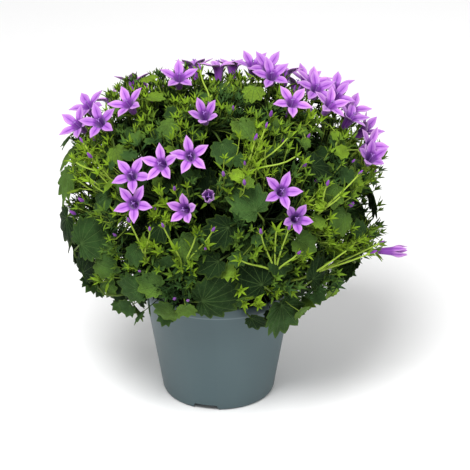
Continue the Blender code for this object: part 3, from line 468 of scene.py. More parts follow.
def pot_profile():
    """Return the pot's section, from the lip down the outside and back up inside."""
    ring_inner = wall_radius(0) - CORNER_ROUND - WALL
    floor_top = FLOOR_RISE + WALL
    outside = [(RIM_RADIUS - LIP_ROUND, POT_HEIGHT), (RIM_RADIUS, POT_HEIGHT - LIP_ROUND),
               (RIM_RADIUS - LIP_ROUND / 2, COLLAR_BASE), (NECK_RADIUS, COLLAR_BASE)]
    foot = [(ring_inner, 0), (ring_inner, FLOOR_RISE), (CENTRE_FOOT_RADIUS, FLOOR_RISE),
            (CENTRE_FOOT_RADIUS, 0), (0, 0)]
    inside = [(0, floor_top), (wall_radius(floor_top) - WALL, floor_top),
              (NECK_RADIUS - WALL, COLLAR_BASE), (NECK_RADIUS, COLLAR_BASE + WALL),
              (COLLAR_INNER_RADIUS, COLLAR_BASE + WALL),
              (RIM_RADIUS - WALL - LIP_ROUND / 2, POT_HEIGHT)]
    return outside + corner_arc(CORNER_ROUND, 2) + foot + inside + outside[:1]


def leaf_round(angle):
    """Return the radius of a leaf's round edge, from its middle, at an angle from its tip."""
    return (LEAF_BASE_SHARE * math.cos(angle)
            + math.sqrt(0.25 - (LEAF_BASE_SHARE * math.sin(angle)) ** 2))


def leaf_edge(step, teeth):
    """Return the angle from the leaf's axis and the radius of one outline point."""
    angle = LEAF_LOBE_ANGLE * (1 - step / teeth)
    if step in (0, 2 * teeth):
        return angle, 0.72 * leaf_round(angle)
    if step % 2:
        apex = 0.1 * max(0.0, math.cos(angle)) ** 6
        return angle, leaf_round(angle) * (1.04 + apex)
    return angle, leaf_round(angle) * 0.87


def leaf_teeth(width):
    """Return how many teeth a leaf of a width has."""
    if width < 22 * MM:
        return 5
    return 7 if width < 30 * MM else 9


def make_leaf(width, cup, fold):
    """Return a toothed, heart-shaped blade whose base is at the origin and tip along Y."""
    teeth = leaf_teeth(width)
    places = [Vector((0, 0.12 * width, -0.01 * width))]
    for step in range(2 * teeth + 1):
        angle, radius = leaf_edge(step, teeth)
        x = radius * math.sin(angle)
        y = radius * math.cos(angle)
        pleat = 0.03 if step % 2 else -0.02
        places.append(Vector((x, y, pleat - cup * radius ** 2 + fold * abs(x))) * width)
    places += [(-STALK_TIP_RADIUS, 0, 0), (STALK_TIP_RADIUS, 0, 0)]
    bm = bmesh.new()
    add_fan(bm, places)
    close_blade(bm, lift(1))
    return bm


def close_blade(bm, aim=None):
    """Give an open blade its thickness, down an aim or else into the bell that it forms."""
    bmesh.ops.recalc_face_normals(bm, faces=bm.faces)
    seat = min(bm.faces, key=lambda f: f.calc_center_median().z)
    if seat.normal.z < 0:
        bmesh.ops.reverse_faces(bm, faces=bm.faces)
    bm.normal_update()
    normals = {tuple(v.co): v.normal.copy() for v in bm.verts}
    grown = bmesh.ops.extrude_face_region(bm, geom=bm.faces[:], use_keep_orig=True)["geom"]
    for vert in only(grown, BMVert):
        vert.co += (-aim if aim else normals[tuple(vert.co)]) * BLADE_THICKNESS
    bmesh.ops.recalc_face_normals(bm, faces=bm.faces)


def leaf_base(bm):
    """Return the small face at a leaf's base, where its stalk begins."""
    near = 2 * STALK_TIP_RADIUS
    return next(f for f in bm.faces if all(v.co.xy.length < near for v in f.verts))


def make_bract(length):
    """Return a narrow folded blade whose base is at the origin and tip along Y."""
    bm = bmesh.new()
    half = 0.14 * length
    add_fan(bm, [(0, 0.45 * length, -0.06 * length), (0, 0, 0), (half, 0.45 * length, 0),
                 (0, length, -0.12 * length), (-half, 0.45 * length, 0)])
    close_blade(bm, lift(1))
    bmesh.ops.triangulate(bm, faces=bm.faces)
    return mesh_from(bm, "bract")


def polar(radius, angle, height):
    """Return a point from its radius and angle round Z and its height."""
    return Vector((radius * math.cos(angle), radius * math.sin(angle), height))


def bloom_sizes(form):
    """Return the sizes of a bloom's form, and its tube's radius: the slim form's is less."""
    tube = TUBE_RADIUS if form != "slim" else 0.72 * TUBE_RADIUS
    return [v * MM for v in BLOOM_FORMS[form]] + [tube]


def make_bloom(form):
    """Return a five-lobed bell whose seat is at the origin and mouth along Z."""
    tip_r, tip_z, side_r, side_z, side_w, sink, tube_r = bloom_sizes(form)
    turn = math.tau / 5
    bm = bmesh.new()
    bmesh.ops.create_circle(bm, cap_ends=True, segments=5, radius=SEAT_RADIUS)
    add_cup(bm, 5, SEAT_RADIUS, tube_r, TUBE_LENGTH, False)
    first = bm.verts[:][0].co
    start = math.atan2(first.y, first.x)
    for lobe in range(5):
        angle = start + turn * (lobe + 0.5)
        side = Vector((-math.sin(angle), math.cos(angle), 0)) * side_w
        shoulder = polar(side_r, angle, side_z)
        add_fan(bm, [polar(side_r - 1.5 * sink, angle, side_z - sink),
                     polar(tube_r, angle - turn / 2, TUBE_LENGTH),
                     shoulder - side, polar(tip_r, angle, tip_z), shoulder + side,
                     polar(tube_r, angle + turn / 2, TUBE_LENGTH)])
    bmesh.ops.remove_doubles(bm, verts=bm.verts, dist=MERGE)
    close_blade(bm)
    bmesh.ops.triangulate(bm, faces=bm.faces)
    low = min(v.co.z for v in bm.verts)
    bmesh.ops.translate(bm, vec=(0, 0, -low), verts=bm.verts)
    return mesh_from(bm, "bloom")


def add_sepals(bm, spread, reach):
    """Draw each side of a green cup out into a pointed sepal."""
    sides = [f for f in bm.faces if abs(f.normal.z) < 0.9]
    made = bmesh.ops.poke(bm, faces=sides)
    for vert in made["verts"]:
        flat = Vector((vert.co.x, vert.co.y, 0)).normalized()
        vert.co = flat * spread + lift(reach)


def make_calyx():
    """Return a cup with five pointed sepals, its foot at the origin and mouth along Z."""
    bm = bmesh.new()
    add_cup(bm, 5, STALK_RADIUS, CALYX_RADIUS, CALYX_HEIGHT)
    add_sepals(bm, CALYX_SPREAD, CALYX_REACH)
    return bm


def make_bud():
    """Return a closed bud with its sepals, its foot at the origin and tip along Z."""
    bm = bmesh.new()
    add_cup(bm, 5, STALK_RADIUS, BUD_RADIUS, 0.4 * BUD_LENGTH)
    add_sepals(bm, BUD_SPREAD, 0.75 * BUD_LENGTH)
    top = [f for f in bm.faces if len(f.verts) == 5 and f.normal.z > 0.9]
    tip = bmesh.ops.poke(bm, faces=top)
    tip["verts"][0].co.z = BUD_LENGTH
    return bm


def foot_face(bm):
    """Return the foot of a calyx or a bud, where its stalk begins."""
    return next(f for f in bm.faces if len(f.verts) == 5 and f.normal.z < -0.9)


def path_aim(points, index):
    """Return the direction of a path at one of its points."""
    before = points[max(0, index - 1)]
    after = points[min(len(points) - 1, index + 1)]
    return (after - before).normalized()


def turned_up(origin, aim):
    """Return the place of a piece whose Z looks along the aim."""
    turn = lift(1).rotation_difference(aim).to_matrix().to_4x4()
    return Matrix.Translation(origin) @ turn


def extrude_along(bm, cap, points, taper):
    """Extrude a face of a solid along points, turning and tapering it with the path."""
    last = len(points) - 1
    for step in range(last):
        grown = bmesh.ops.extrude_face_region(bm, geom=[cap])["geom"]
        bmesh.ops.delete(bm, geom=[cap], context="FACES_ONLY")
        ends = only(grown, BMVert)
        cap = only(grown, BMFace)[0]
        turn = path_aim(points, step).rotation_difference(path_aim(points, step + 1))
        move = (Matrix.Translation(points[step + 1]) @ turn.to_matrix().to_4x4()
                @ Matrix.Scale(taper ** (1 / last), 4) @ Matrix.Translation(-points[step]))
        bmesh.ops.transform(bm, matrix=move, verts=ends)


def make_stalk(points, first_radius, last_radius, sides):
    """Return a closed tapered stalk that follows its points."""
    foot = 0.2 * MM
    aim = path_aim(points, 0)
    bm = bmesh.new()
    bmesh.ops.create_cone(bm, cap_ends=True, segments=sides, radius1=first_radius,
                          radius2=first_radius, depth=foot, matrix=turned_up(points[0], aim))
    cap = max(bm.faces, key=lambda f: f.normal.dot(aim))
    points = [points[0] + aim * foot / 2] + points[1:]
    extrude_along(bm, cap, points, last_radius / first_radius)
    bmesh.ops.dissolve_limit(bm, angle_limit=0.001, verts=bm.verts, edges=bm.edges)
    bmesh.ops.recalc_face_normals(bm, faces=bm.faces)
    return mesh_from(bm, "stalk")


def stalked(solid, base, place, points, taper):
    """Return a copy of a blade or cup, in its place, with a stalk that runs to the stem."""
    bm = solid.copy()
    cap = base(bm)
    bmesh.ops.transform(bm, matrix=place, verts=bm.verts)
    extrude_along(bm, cap, points, taper)
    bmesh.ops.triangulate(bm, faces=bm.faces)
    bmesh.ops.recalc_face_normals(bm, faces=bm.faces)
    return mesh_from(bm, "stalked")


def curve_points(start, start_aim, end, end_aim, count, slack=0.4):
    """Return points of a smooth curve that leaves and arrives along given aims."""
    reach = (end - start).length * slack
    return interpolate_bezier(start, start + start_aim * reach, end - end_aim * reach, end, count)


def stem_spots(path):
    """Return evenly spaced points of a stem, each with the stem's direction there."""
    spots = []
    left = SPOT_START
    for before, after in zip(path, path[1:]):
        along = after - before
        while left < along.length:
            spots.append((before + along.normalized() * left, along.normalized()))
            left += SPOT_SPACING
        left -= along.length
    return spots


def mound_measure(point, level):
    """Return a value under 1 inside the mound's outline at a level and over 1 outside."""
    away = point - MOUND_CENTRE
    return sum(abs(away[k] / (MOUND_SIZE[k] * level)) ** MOUND_FULLNESS for k in range(3))


def mound_normal(point):
    """Return the direction that points straight out of the mound."""
    away = point - MOUND_CENTRE
    return Vector([away[k] / MOUND_SIZE[k] ** 2 for k in range(3)]).normalized()


def place_seen(across, up, side, level):
    """Return the point of the mound that shows at a place in the view."""
    centre_up = MOUND_CENTRE.dot(VIEW_UP)
    across *= MM
    up = up * MM - centre_up
    steps = round(VIEW_DEPTH / VIEW_STEP)
    while True:
        for step in range(-steps, steps):
            depth = step * VIEW_STEP
            height = (up + centre_up - depth * VIEW_UP.y) / VIEW_UP.z
            point = Vector((across, depth, height))
            if mound_measure(point, level) < 1:
                if side == "back":
                    return Vector((-point.x, -point.y, point.z))
                return point
        across *= 0.98
        up *= 0.98


def spread_apart(points, spacing, rounds, keep):
    """Push points apart until neighbours keep a spacing, and settle each with keep."""
    for _ in range(rounds):
        for i, here in enumerate(points):
            for there in points[:i]:
                apart = here - there
                if 0 < apart.length < spacing:
                    shift = apart.normalized() * (spacing - apart.length) * 0.3
                    here += shift
                    there -= shift
        for i, here in enumerate(points):
            points[i] = keep(here)


def on_mound(point):
    """Return the point moved in or out to the mound's outline."""
    for _ in range(4):
        measure = mound_measure(point, 1.0) ** (1 / MOUND_FULLNESS)
        point = MOUND_CENTRE + (point - MOUND_CENTRE) / measure
    return point


def at_level(point, level):
    """Return the point moved to a level of the mound's outline."""
    return MOUND_CENTRE + (on_mound(point) - MOUND_CENTRE) * level


def spiral_point(index, count, sway=0.0):
    """Return one of a count of points that are spread evenly round the mound."""
    slope = 1 - 2 * (index + 0.5) / count
    angle = index * GOLDEN_ANGLE + sway
    flat = math.sqrt(1 - slope * slope)
    away = Vector((flat * math.cos(angle), flat * math.sin(angle), slope))
    return MOUND_CENTRE + Vector([away[k] * MOUND_SIZE[k] for k in range(3)])


def height_share(point, top=GROWTH_TOP):
    """Return how high a point is between the skirt, at 0, and a top, at 1."""
    return (point.z - SKIRT_HEIGHT) / (top - SKIRT_HEIGHT)


def inside_pot(root):
    """Return a root's place, drawn in where it is too near the pot's wall."""
    return root if root.length < ROOT_REACH else root * (ROOT_REACH / root.length)


class Piece:
    """One small solid of a node: its mesh, its place and a tree for clearance tests."""

    def __init__(self, node, kind, mesh, matrix=None, recipe=None):
        self.recipe = recipe
        self.node = node
        self.kind = kind
        self.mesh = mesh
        self.matrix = matrix if matrix is not None else Matrix()
        points = [self.matrix @ v.co for v in mesh.vertices]
        self.faces = [p.vertices[:] for p in mesh.polygons]
        self.centre = sum(points, Vector()) / len(points)
        self.reach = max((p - self.centre).length for p in points)
        self.tree = BVHTree.FromPolygons(points, self.faces)

    def crosses_itself(self):
        """Tell whether two faces of the solid that share no corner meet."""
        for one, other in self.tree.overlap(self.tree):
            if not set(self.faces[one]) & set(self.faces[other]):
                return True
        return False

    def grown_tree(self):
        """Return a tree of the solid grown by the clearance."""
        points = [self.matrix @ (v.co + v.normal * CLEARANCE) for v in self.mesh.vertices]
        return BVHTree.FromPolygons(points, self.faces)

    def crosses(self, other):
        """Tell whether two solids meet as they are, as a bloom and its calyx must not."""
        return bool(self.tree.overlap(other.tree))

    def meets(self, others):
        """Tell whether the grown solid meets one of the others."""
        grown = self.grown_tree()
        for other in others:
            far = self.reach + other.reach + CLEARANCE
            if (self.centre - other.centre).length < far and grown.overlap(other.tree):
                return True
        return False


def place_matrix(origin, tip_aim, face_aim):
    """Return the place of a blade whose tip is along Y and whose face looks along Z."""
    y = tip_aim.normalized()
    z = (face_aim - y * face_aim.dot(y)).normalized()
    x = y.cross(z)
    turn = Matrix((x, y, z)).transposed().to_4x4()
    return Matrix.Translation(origin) @ turn


def aim_matrix(origin, aim, roll):
    """Return the place of a round piece whose mouth looks along the aim."""
    return turned_up(origin, aim) @ Matrix.Rotation(roll, 4, "Z")


def side_of(aim, angle):
    """Return the direction square to an aim, turned round it by an angle."""
    side = aim.orthogonal().normalized()
    side.rotate(Matrix.Rotation(angle, 3, aim))
    return side


class Plant:
    """The pieces of all shoots and blooms, grown one by one clear of each other."""

    def __init__(self, fixed):
        self.draw = random.Random(SEED)
        self.pieces = list(fixed)
        self.stems = []
        self.spots = {}

    def strangers(self, node):
        """Return the pieces that belong to other nodes."""
        return [p for p in self.pieces if p.node != node]

    def fellows(self, node):
        """Return the pieces of a node apart from its stem."""
        return [p for p in self.pieces if p.node == node and p.kind != "stem"]

    def is_crowded(self, piece):
        """Tell whether a piece meets other nodes, or more of its own than its stem."""
        return piece.meets(self.strangers(piece.node)) or piece.meets(self.fellows(piece.node))

    def bloom_places(self):
        """Return each bloom's shoot, form, mouth point and aim."""
        names = []
        mouths = []
        for shoot, (side, seen) in FLOWER_SHOOTS.items():
            for index, (across, up) in enumerate(seen):
                names.append((shoot, side, FORM_OF.get((shoot, index), "open")))
                mouths.append(place_seen(across, up, side, 1.0))
        loose = [m for (shoot, _, _), m in zip(names, mouths) if shoot != "trailing"]
        spread_apart(loose, BLOOM_SPACING, BLOOM_ROUNDS, on_mound)
        settled = iter(loose)
        places = []
        for shoot, side, form in names:
            if shoot == "trailing":
                places.append((shoot, form, TRAILING_MOUTH, TRAILING_AIM))
                continue
            mouth = next(settled)
            turn = FRONT_TURN * TO_VIEWER if side == "front" else BACK_TURN
            aim = mound_normal(mouth) + turn + AIM_LIFT + shaken(self.draw, AIM_JITTER)
            aim.normalize()
            places.append((shoot, form, mouth, aim))
        return places

    def grow_stems(self, places):
        """Grow each shoot's main stem from its root to its head."""
        heads = {}
        for shoot in FLOWER_SHOOTS:
            mine = [(mouth, aim) for name, _, mouth, aim in places if name == shoot]
            mean = sum((m - a * HEAD_DROP for m, a in mine), Vector()) / len(mine)
            inward = (lift(SOIL_LEVEL) - mean).normalized()
            heads[shoot] = mean + inward * HEAD_DROP
        for shoot, (azimuth, reach, height) in LEAFY_SHOOTS.items():
            heads[shoot] = polar(reach * MM, math.radians(azimuth), height * MM)
        roots = [Vector((h.x, h.y, 0)) * ROOT_SHARE for h in heads.values()]
        spread_apart(roots, ROOT_SPACING, ROOT_ROUNDS, inside_pot)
        for (shoot, head), root in zip(heads.items(), roots):
            self.grow_stem(shoot, root, head)

    def grow_stem(self, shoot, root, head):
        """Grow one main stem, bending it until it is clear of the others."""
        foot = Vector((root.x, root.y, SOIL_LEVEL - HOLE_DEPTH + GAP))
        surface = Vector((root.x, root.y, SOIL_LEVEL + 2 * MM))
        out = Vector((head.x - root.x, head.y - root.y, 0)).normalized()
        for attempt in range(STEM_TRIES):
            lean = shaken(self.draw, STEM_LEAN) * (attempt > 0)
            aim = (lift(1) + 0.35 * out + lean).normalized()
            arrive = ((head - surface).normalized() + 0.3 * out + lean).normalized()
            bend = (surface, aim, head, arrive)
            path = curve_points(*bend, 5)
            solid = make_stalk([foot] + path, STEM_RADIUS, STEM_TOP_RADIUS, STEM_SIDES)
            stem = Piece(shoot, "stem", solid, recipe={"foot": foot, "bend": bend})
            if not stem.meets(self.strangers(shoot)):
                self.stems.append(shoot)
                self.spots[shoot] = stem_spots(path)
                self.pieces.append(stem)
                return
        raise RuntimeError("no clear stem for " + shoot)

    def grow_blooms(self, places):
        """Grow each bloom with its calyx and stalk."""
        for number, place in enumerate(places, 1):
            self.grow_bloom("bloom_%02d" % number, *place)

    def grow_bloom(self, node, shoot, form, mouth, aim):
        """Grow one bloom, moving it until it is clear of everything else."""
        spots = self.spots[shoot]
        depth = MOUTH_DEPTH + CALYX_HEIGHT + GAP
        for attempt in range(BLOOM_TRIES):
            jitter = shaken(self.draw, BLOOM_SWING * attempt)
            shift = shaken(self.draw, 1) * BLOOM_SHIFT * attempt * MM
            look = (aim + jitter * 0.6).normalized()
            base = mouth + shift - look * depth
            roll = self.draw.uniform(0, math.tau)
            spot = spots[-1 - (attempt // 4) % 5]
            start, along = spot
            leave = (along + (base - start).normalized()).normalized()
            bend = (base, -look, start, -leave)
            place = aim_matrix(base, look, roll)
            cup = stalked(shape(make_calyx), foot_face, place, curve_points(*bend, 3), 1.0)
            head = Piece(shoot, "head", cup, recipe={"place": place, "bend": bend})
            seat = base + look * (CALYX_HEIGHT + GAP)
            bell = aim_matrix(seat, look, roll + math.pi / 5)
            bloom = Piece(node, "bloom", shape(make_bloom, form), bell,
                          {"form": form, "look": look, "seat": seat})
            if bloom.crosses(head) or bloom.meets(self.pieces):
                continue
            if self.is_crowded(head) or head.crosses_itself():
                continue
            self.pieces += [head, bloom]
            spots.remove(spot)
            return
        raise RuntimeError("no clear place for " + node)

    def front_sites(self):
        """Return the places of the leaves that show at the front."""
        return [(place_seen(across, up, "front", LEAF_LEVEL), width * MM)
                for across, up, width in FRONT_LEAVES]

    def rule_sites(self):
        """Return places for leaves spread evenly all round the mound."""
        ruled = []
        for index in range(RULE_LEAVES):
            point = at_level(spiral_point(index, RULE_LEAVES), RULE_LEVEL)
            if point.z < SKIRT_HEIGHT:
                continue
            high = height_share(point, MOUND_CENTRE.z + MOUND_SIZE.z)
            wish = LOW_WIDTH + (TOP_WIDTH - LOW_WIDTH) * high + self.draw.uniform(-5, 5) * MM
            width = min(LEAF_WIDTHS, key=lambda w: abs(w - wish))
            ruled.append((point, width))
        return ruled

    def inner_sites(self):
        """Return places for the darker leaves inside the mound."""
        sites = []
        for index in range(INNER_LEAVES):
            angle = index * GOLDEN_ANGLE
            height = INNER_LOW + (INNER_HIGH - INNER_LOW) * (index + 0.5) / INNER_LEAVES
            sway = math.sin(index * INNER_TURN) ** 2
            reach = INNER_NEAR + (INNER_FAR - INNER_NEAR) * sway
            sites.append((polar(reach, angle, height), INNER_WIDTH))
        return sites

    def grow_leaves(self, sites):
        """Grow a leaf at each site where there is room, and return the places taken."""
        return [point for point, width in sites if self.grow_leaf(point, width)]

    def fill_evenly(self, sites, taken, limit):
        """Grow leaves, each at the site that is farthest from all that has grown."""
        grown = 0
        while sites and grown < limit:
            room = [min((point - other).length for other in taken) for point, _ in sites]
            point, width = sites.pop(room.index(max(room)))
            if self.grow_leaf(point, width):
                taken.append(point)
                grown += 1

    def carriers(self, point):
        """Return the free spots on the stems that a leaf at a point can hang on, best first."""
        ranked = []
        for shoot, spots in self.spots.items():
            mine = []
            for index, (start, _) in enumerate(spots):
                droop = max(0.0, start.z - point.z + DROOP_ROOM)
                mine.append(((point - start).length + 1.5 * droop, shoot, index))
            mine.sort()
            ranked += mine[:9:3]
        ranked.sort()
        return [entry for entry in ranked if entry[0] < REACH_LIMIT][:CARRIER_TRIES]

    def grow_leaf(self, point, width):
        """Grow one leaf with its stalk, and tell whether a clear place was found."""
        outward = mound_normal(point)
        for attempt, (_, shoot, index) in enumerate(self.carriers(point) * 2):
            start, along = self.spots[shoot][index]
            variant = attempt % len(LEAF_BENDS)
            face = (outward + lift(0.35) + shaken(self.draw, 0.15 + 0.03 * attempt)).normalized()
            tip = (point - start) - face * (point - start).dot(face)
            tip += lift(-0.35) * tip.length
            tip -= face * tip.dot(face)
            tip.normalize()
            base = point - tip * LEAF_BASE_SHARE * width
            if (base - start).length < SHORTEST_STALK:
                continue
            solid = shape(make_leaf, width, *LEAF_BENDS[variant])
            place = place_matrix(base, tip, face)
            leave = ((base - start).normalized() + 0.5 * along).normalized()
            bend = (base, -tip, start, -leave)
            path = curve_points(*bend, 3)
            short = path[:-1] + [start.lerp(path[-2], 0.2)]
            stalk = make_stalk(short, STALK_RADIUS, STALK_RADIUS, STALK_SIDES)
            if self.is_crowded(Piece(shoot, "guide", stalk)):
                continue
            blade = Piece(shoot, "guide", mesh_from(solid.copy(), "blade"), place)
            if blade.meets(self.pieces):
                continue
            leaf = Piece(shoot, "leaf", stalked(solid, leaf_base, place, path, 1.2),
                         recipe={"place": place, "bend": bend, "width": width, "variant": variant})
            if leaf.crosses_itself() or leaf.meets(self.strangers(shoot)):
                continue
            self.pieces.append(leaf)
            self.spots[shoot].pop(index)
            return True
        return False

    def make_small(self, kind, shoot, attempt, start, along):
        """Return one bract or bud that leaves a stem at a spot."""
        angle = self.draw.uniform(0, math.tau)
        side = side_of(along, angle)
        if kind == "bract":
            length = BRACT_LENGTHS[attempt % len(BRACT_LENGTHS)]
            aim = (along * 0.7 + side).normalized()
            place = place_matrix(start, aim, along - 0.3 * side)
            return Piece(shoot, kind, shape(make_bract, length), place,
                         {"place": place, "length": length})
        aim = (along + 0.8 * side).normalized()
        end = start + aim * self.draw.uniform(14, 24) * MM
        look = (aim + mound_normal(end) + lift(0.5)).normalized()
        bend = (end, -look, start, -aim)
        place = aim_matrix(end, look, angle)
        solid = stalked(shape(make_bud), foot_face, place, curve_points(*bend, 3), 1.0)
        return Piece(shoot, kind, solid, recipe={"place": place, "bend": bend})

    def grow_small(self, kind, limit):
        """Grow bracts or buds along the stems."""
        grown = 0
        for attempt in range(SMALL_TRIES):
            if grown == limit:
                break
            shoot = self.stems[attempt % len(self.stems)]
            spots = self.spots[shoot]
            index = self.draw.randrange(len(spots) // 3, len(spots))
            small = self.make_small(kind, shoot, attempt, *spots[index])
            if self.is_crowded(small) or small.crosses_itself():
                continue
            self.pieces.append(small)
            spots.pop(index)
            grown += 1

    def grow(self):
        """Grow the whole plant."""
        places = self.bloom_places()
        self.grow_stems(places)
        self.grow_blooms(places)
        taken = [mouth for _, _, mouth, _ in places]
        taken += self.grow_leaves(self.front_sites())
        self.fill_evenly(self.rule_sites(), taken, COUNTS["rule"])
        self.fill_evenly(self.inner_sites(), taken, COUNTS["inner"])
        self.grow_small("bud", COUNTS["bud"])
        self.grow_small("bract", COUNTS["bract"])


def pot_guide():
    """Return the pot's wall and collar as an open ring, for clearance tests."""
    middle = POT_HEIGHT / 2
    section = [(wall_radius(middle), middle), (NECK_RADIUS, COLLAR_BASE), (RIM_RADIUS, COLLAR_BASE),
               (RIM_RADIUS, POT_HEIGHT), (RIM_RADIUS - 2 * WALL, POT_HEIGHT),
               (NECK_RADIUS - WALL, COLLAR_BASE)]
    bm = bmesh.new()
    bmesh.ops.create_circle(bm, segments=POT_STEPS, radius=1)
    ring = bm.edges[:]
    bmesh.ops.transform(bm, matrix=ring_matrix(*section[0]), verts=bm.verts)
    for before, after in zip(section, section[1:]):
        ring, verts = extrude_ring(bm, ring)
        move = ring_matrix(*after) @ ring_matrix(*before).inverted()
        bmesh.ops.transform(bm, matrix=move, verts=verts)
    return Piece("pot", "pot", mesh_from(bm, "pot_guide"))


def ring_matrix(radius, height):
    """Return the matrix that makes a unit circle a ring of a radius at a height."""
    return Matrix.Translation((0, 0, height)) @ Matrix.Diagonal((radius, radius, 1, 1))


def growth_layer(bm):
    """Return the map that holds how far across and along its blade each corner is."""
    return bm.loops.layers.uv.get(UV_NAME) or bm.loops.layers.uv.new(UV_NAME)


def set_uv(bm, place):
    """Give each face corner the two growth values that place returns for it."""
    layer = growth_layer(bm)
    for face in bm.faces:
        for loop in face.loops:
            loop[layer].uv = place(loop, face)


def thicken(bm, thickness, aim=None, under=None):
    """Close an open blade by a second side, down an aim or along its own normals."""
    bm.normal_update()
    normals = {v: v.normal.copy() for v in bm.verts}
    before = {tuple(v.co): v for v in bm.verts}
    grown = bmesh.ops.extrude_face_region(bm, geom=bm.faces[:], use_keep_orig=True)["geom"]
    for vert in only(grown, BMVert):
        inward = -aim if aim else -normals[before[tuple(vert.co)]]
        vert.co += inward * thickness
    if under is not None:
        for face in only(grown, BMFace):
            face.material_index = under
    bmesh.ops.recalc_face_normals(bm, faces=bm.faces)


def finish_blade(bm, thickness):
    """Turn an open blade's faces up, and give it its underside."""
    for face in bm.faces:
        face.material_index = UPPER_LOOK
        if face.normal.z < 0:
            face.normal_flip()
    thicken(bm, thickness, lift(1), under=UNDER_LOOK)


def edge_shape(step, half, grain):
    """Return the angle from the tip and the radius, in widths, of a leaf's edge point."""
    angle = LEAF_LOBE_ANGLE * step / half
    if abs(step) == half:
        return angle, 0.76 * leaf_round(angle)
    apex = 0.06 * max(0.0, math.cos(angle)) ** 6
    tooth = SMALL_TOOTH if grain == SMALL_GRAIN else FINE_TOOTH
    return angle, leaf_round(angle) * (tooth[step % grain] + apex)


def leaf_spot(step, rho, half, grain, cup, fold):
    """Return a point of a leaf of width one, from its edge step and its share of the way out."""
    base_steps = abs(step) - half
    angle, radius = edge_shape(max(-half, min(half, step)), half, grain)
    edge = Vector((radius * math.sin(angle), radius * math.cos(angle)))
    if base_steps > 0:
        edge *= 1 - base_steps / 2
    centre = Vector((0, 0.06))
    flat = centre.lerp(edge, rho)
    ridge = 0.014 if step % grain == 0 else (-0.009 if 2 * (step % grain) == grain else 0.002)
    quilt = 0.012 * math.sin(math.pi * rho) * (step % 2)
    rise = ridge * rho + quilt - cup * flat.length_squared + fold * abs(flat.x)
    return Vector((flat.x, flat.y, rise))


def leaf_disc(count, rings):
    """Return a flat disc of rings, with each vertex's step round it and share of the way out."""
    bm = bmesh.new()
    bmesh.ops.create_circle(bm, segments=count, radius=1)
    ring = bm.edges[:]
    for before, after in zip((1.0,) + rings, rings + (0.0,)):
        ring, verts = extrude_ring(bm, ring)
        bmesh.ops.scale(bm, vec=Vector((1, 1, 1)) * (after / before), verts=verts)
    bmesh.ops.remove_doubles(bm, verts=bm.verts, dist=0.001)
    polar_of = {}
    for vert in bm.verts:
        step = round(math.atan2(vert.co.x, vert.co.y) / math.tau * count)
        polar_of[vert] = (step, vert.co.length)
    return bm, polar_of


def fine_leaf(width, variant, teeth, grain, rings, thickness):
    """Return a toothed leaf whose rings follow its edge, its base at the origin."""
    cup, fold = LEAF_BENDS[variant]
    half = grain * teeth // 2
    bm, polar_of = leaf_disc(2 * half + 4, rings)

    def growth(loop, face):
        step, rho = polar_of[loop.vert]
        if rho < 0.01:
            outer = [polar_of[v][0] for v in face.verts if polar_of[v][1] > 0.01]
            step = sum(abs(s) for s in outer) / len(outer)
        return (abs(step) / grain, rho)

    set_uv(bm, growth)
    for vert, (step, rho) in polar_of.items():
        vert.co = leaf_spot(step, rho, half, grain, cup, fold) * width
    finish_blade(bm, thickness)
    return mesh_from(bm, "leaf")


def fine_bract(length, thickness):
    """Return a narrow pointed blade with a sunk midrib."""
    bm = bmesh.new()
    wide = 0.13 * length
    add_fan(bm, [(0, 0.4 * length, -0.05 * length), (0, 0, 0), (wide, 0.3 * length, 0),
                 (0.7 * wide, 0.65 * length, -0.03 * length), (0, length, -0.14 * length),
                 (-0.7 * wide, 0.65 * length, -0.03 * length), (-wide, 0.3 * length, 0)])
    bm.normal_update()
    set_uv(bm, lambda loop, face: BETWEEN_VEINS)
    finish_blade(bm, thickness)
    return mesh_from(bm, "bract")


def eased(stops, values, at):
    """Return a smooth value on the curve through values at their stops."""
    k = sum(at >= s for s in stops[1:-1])
    last = len(stops) - 1

    def slope(i):
        low = max(0, i - 1)
        high = min(last, i + 1)
        return (values[high] - values[low]) / (stops[high] - stops[low])

    span = stops[k + 1] - stops[k]
    t = (at - stops[k]) / span
    bulge = slope(k) * span * (t ** 3 - 2 * t ** 2 + t) + slope(k + 1) * span * (t ** 3 - t ** 2)
    return values[k] * (2 * t ** 3 - 3 * t ** 2 + 1) + values[k + 1] * (3 * t ** 2 - 2 * t ** 3) + bulge


def petal_knots(form):
    """Return the lobe's centre and edge (both outwards, up) and half width at each stop."""
    tip_r, tip_z, side_r, side_z, side_w, sink, tube_r = bloom_sizes(form)
    cosine = math.cos(math.pi / 5)
    sine = math.sin(math.pi / 5)
    return [Vector((SEAT_RADIUS, 0, SEAT_RADIUS * cosine, 0, SEAT_RADIUS * sine)),
            Vector((0.94 * tube_r, TUBE_LENGTH, tube_r * cosine, TUBE_LENGTH, tube_r * sine)),
            Vector((side_r - 1.5 * sink, side_z - 1.5 * sink, side_r, side_z, 0.97 * side_w)),
            Vector((tip_r, tip_z, tip_r, tip_z, 0))]


def add_lobe(bm, knots, angle):
    """Add one lobe of a bell, bent through its knots, at an angle round Z."""
    made = bmesh.ops.create_grid(bm, x_segments=PETAL_ACROSS, y_segments=PETAL_ALONG, size=1)
    turn = Matrix.Rotation(angle, 4, "Z")
    layer = growth_layer(bm)
    for face in {f for v in made["verts"] for f in v.link_faces}:
        for loop in face.loops:
            loop[layer].uv = ((loop.vert.co.x + 1) / 2, (loop.vert.co.y + 1) / 2)
    for vert in made["verts"]:
        across = vert.co.x
        mid_r, mid_z, edge_r, edge_z, half = eased(PETAL_STOPS, knots, (vert.co.y + 1) / 2)
        bend = across * across
        vert.co = turn @ Vector((mid_r + (edge_r - mid_r) * bend, half * across,
                                 mid_z + (edge_z - mid_z) * bend))


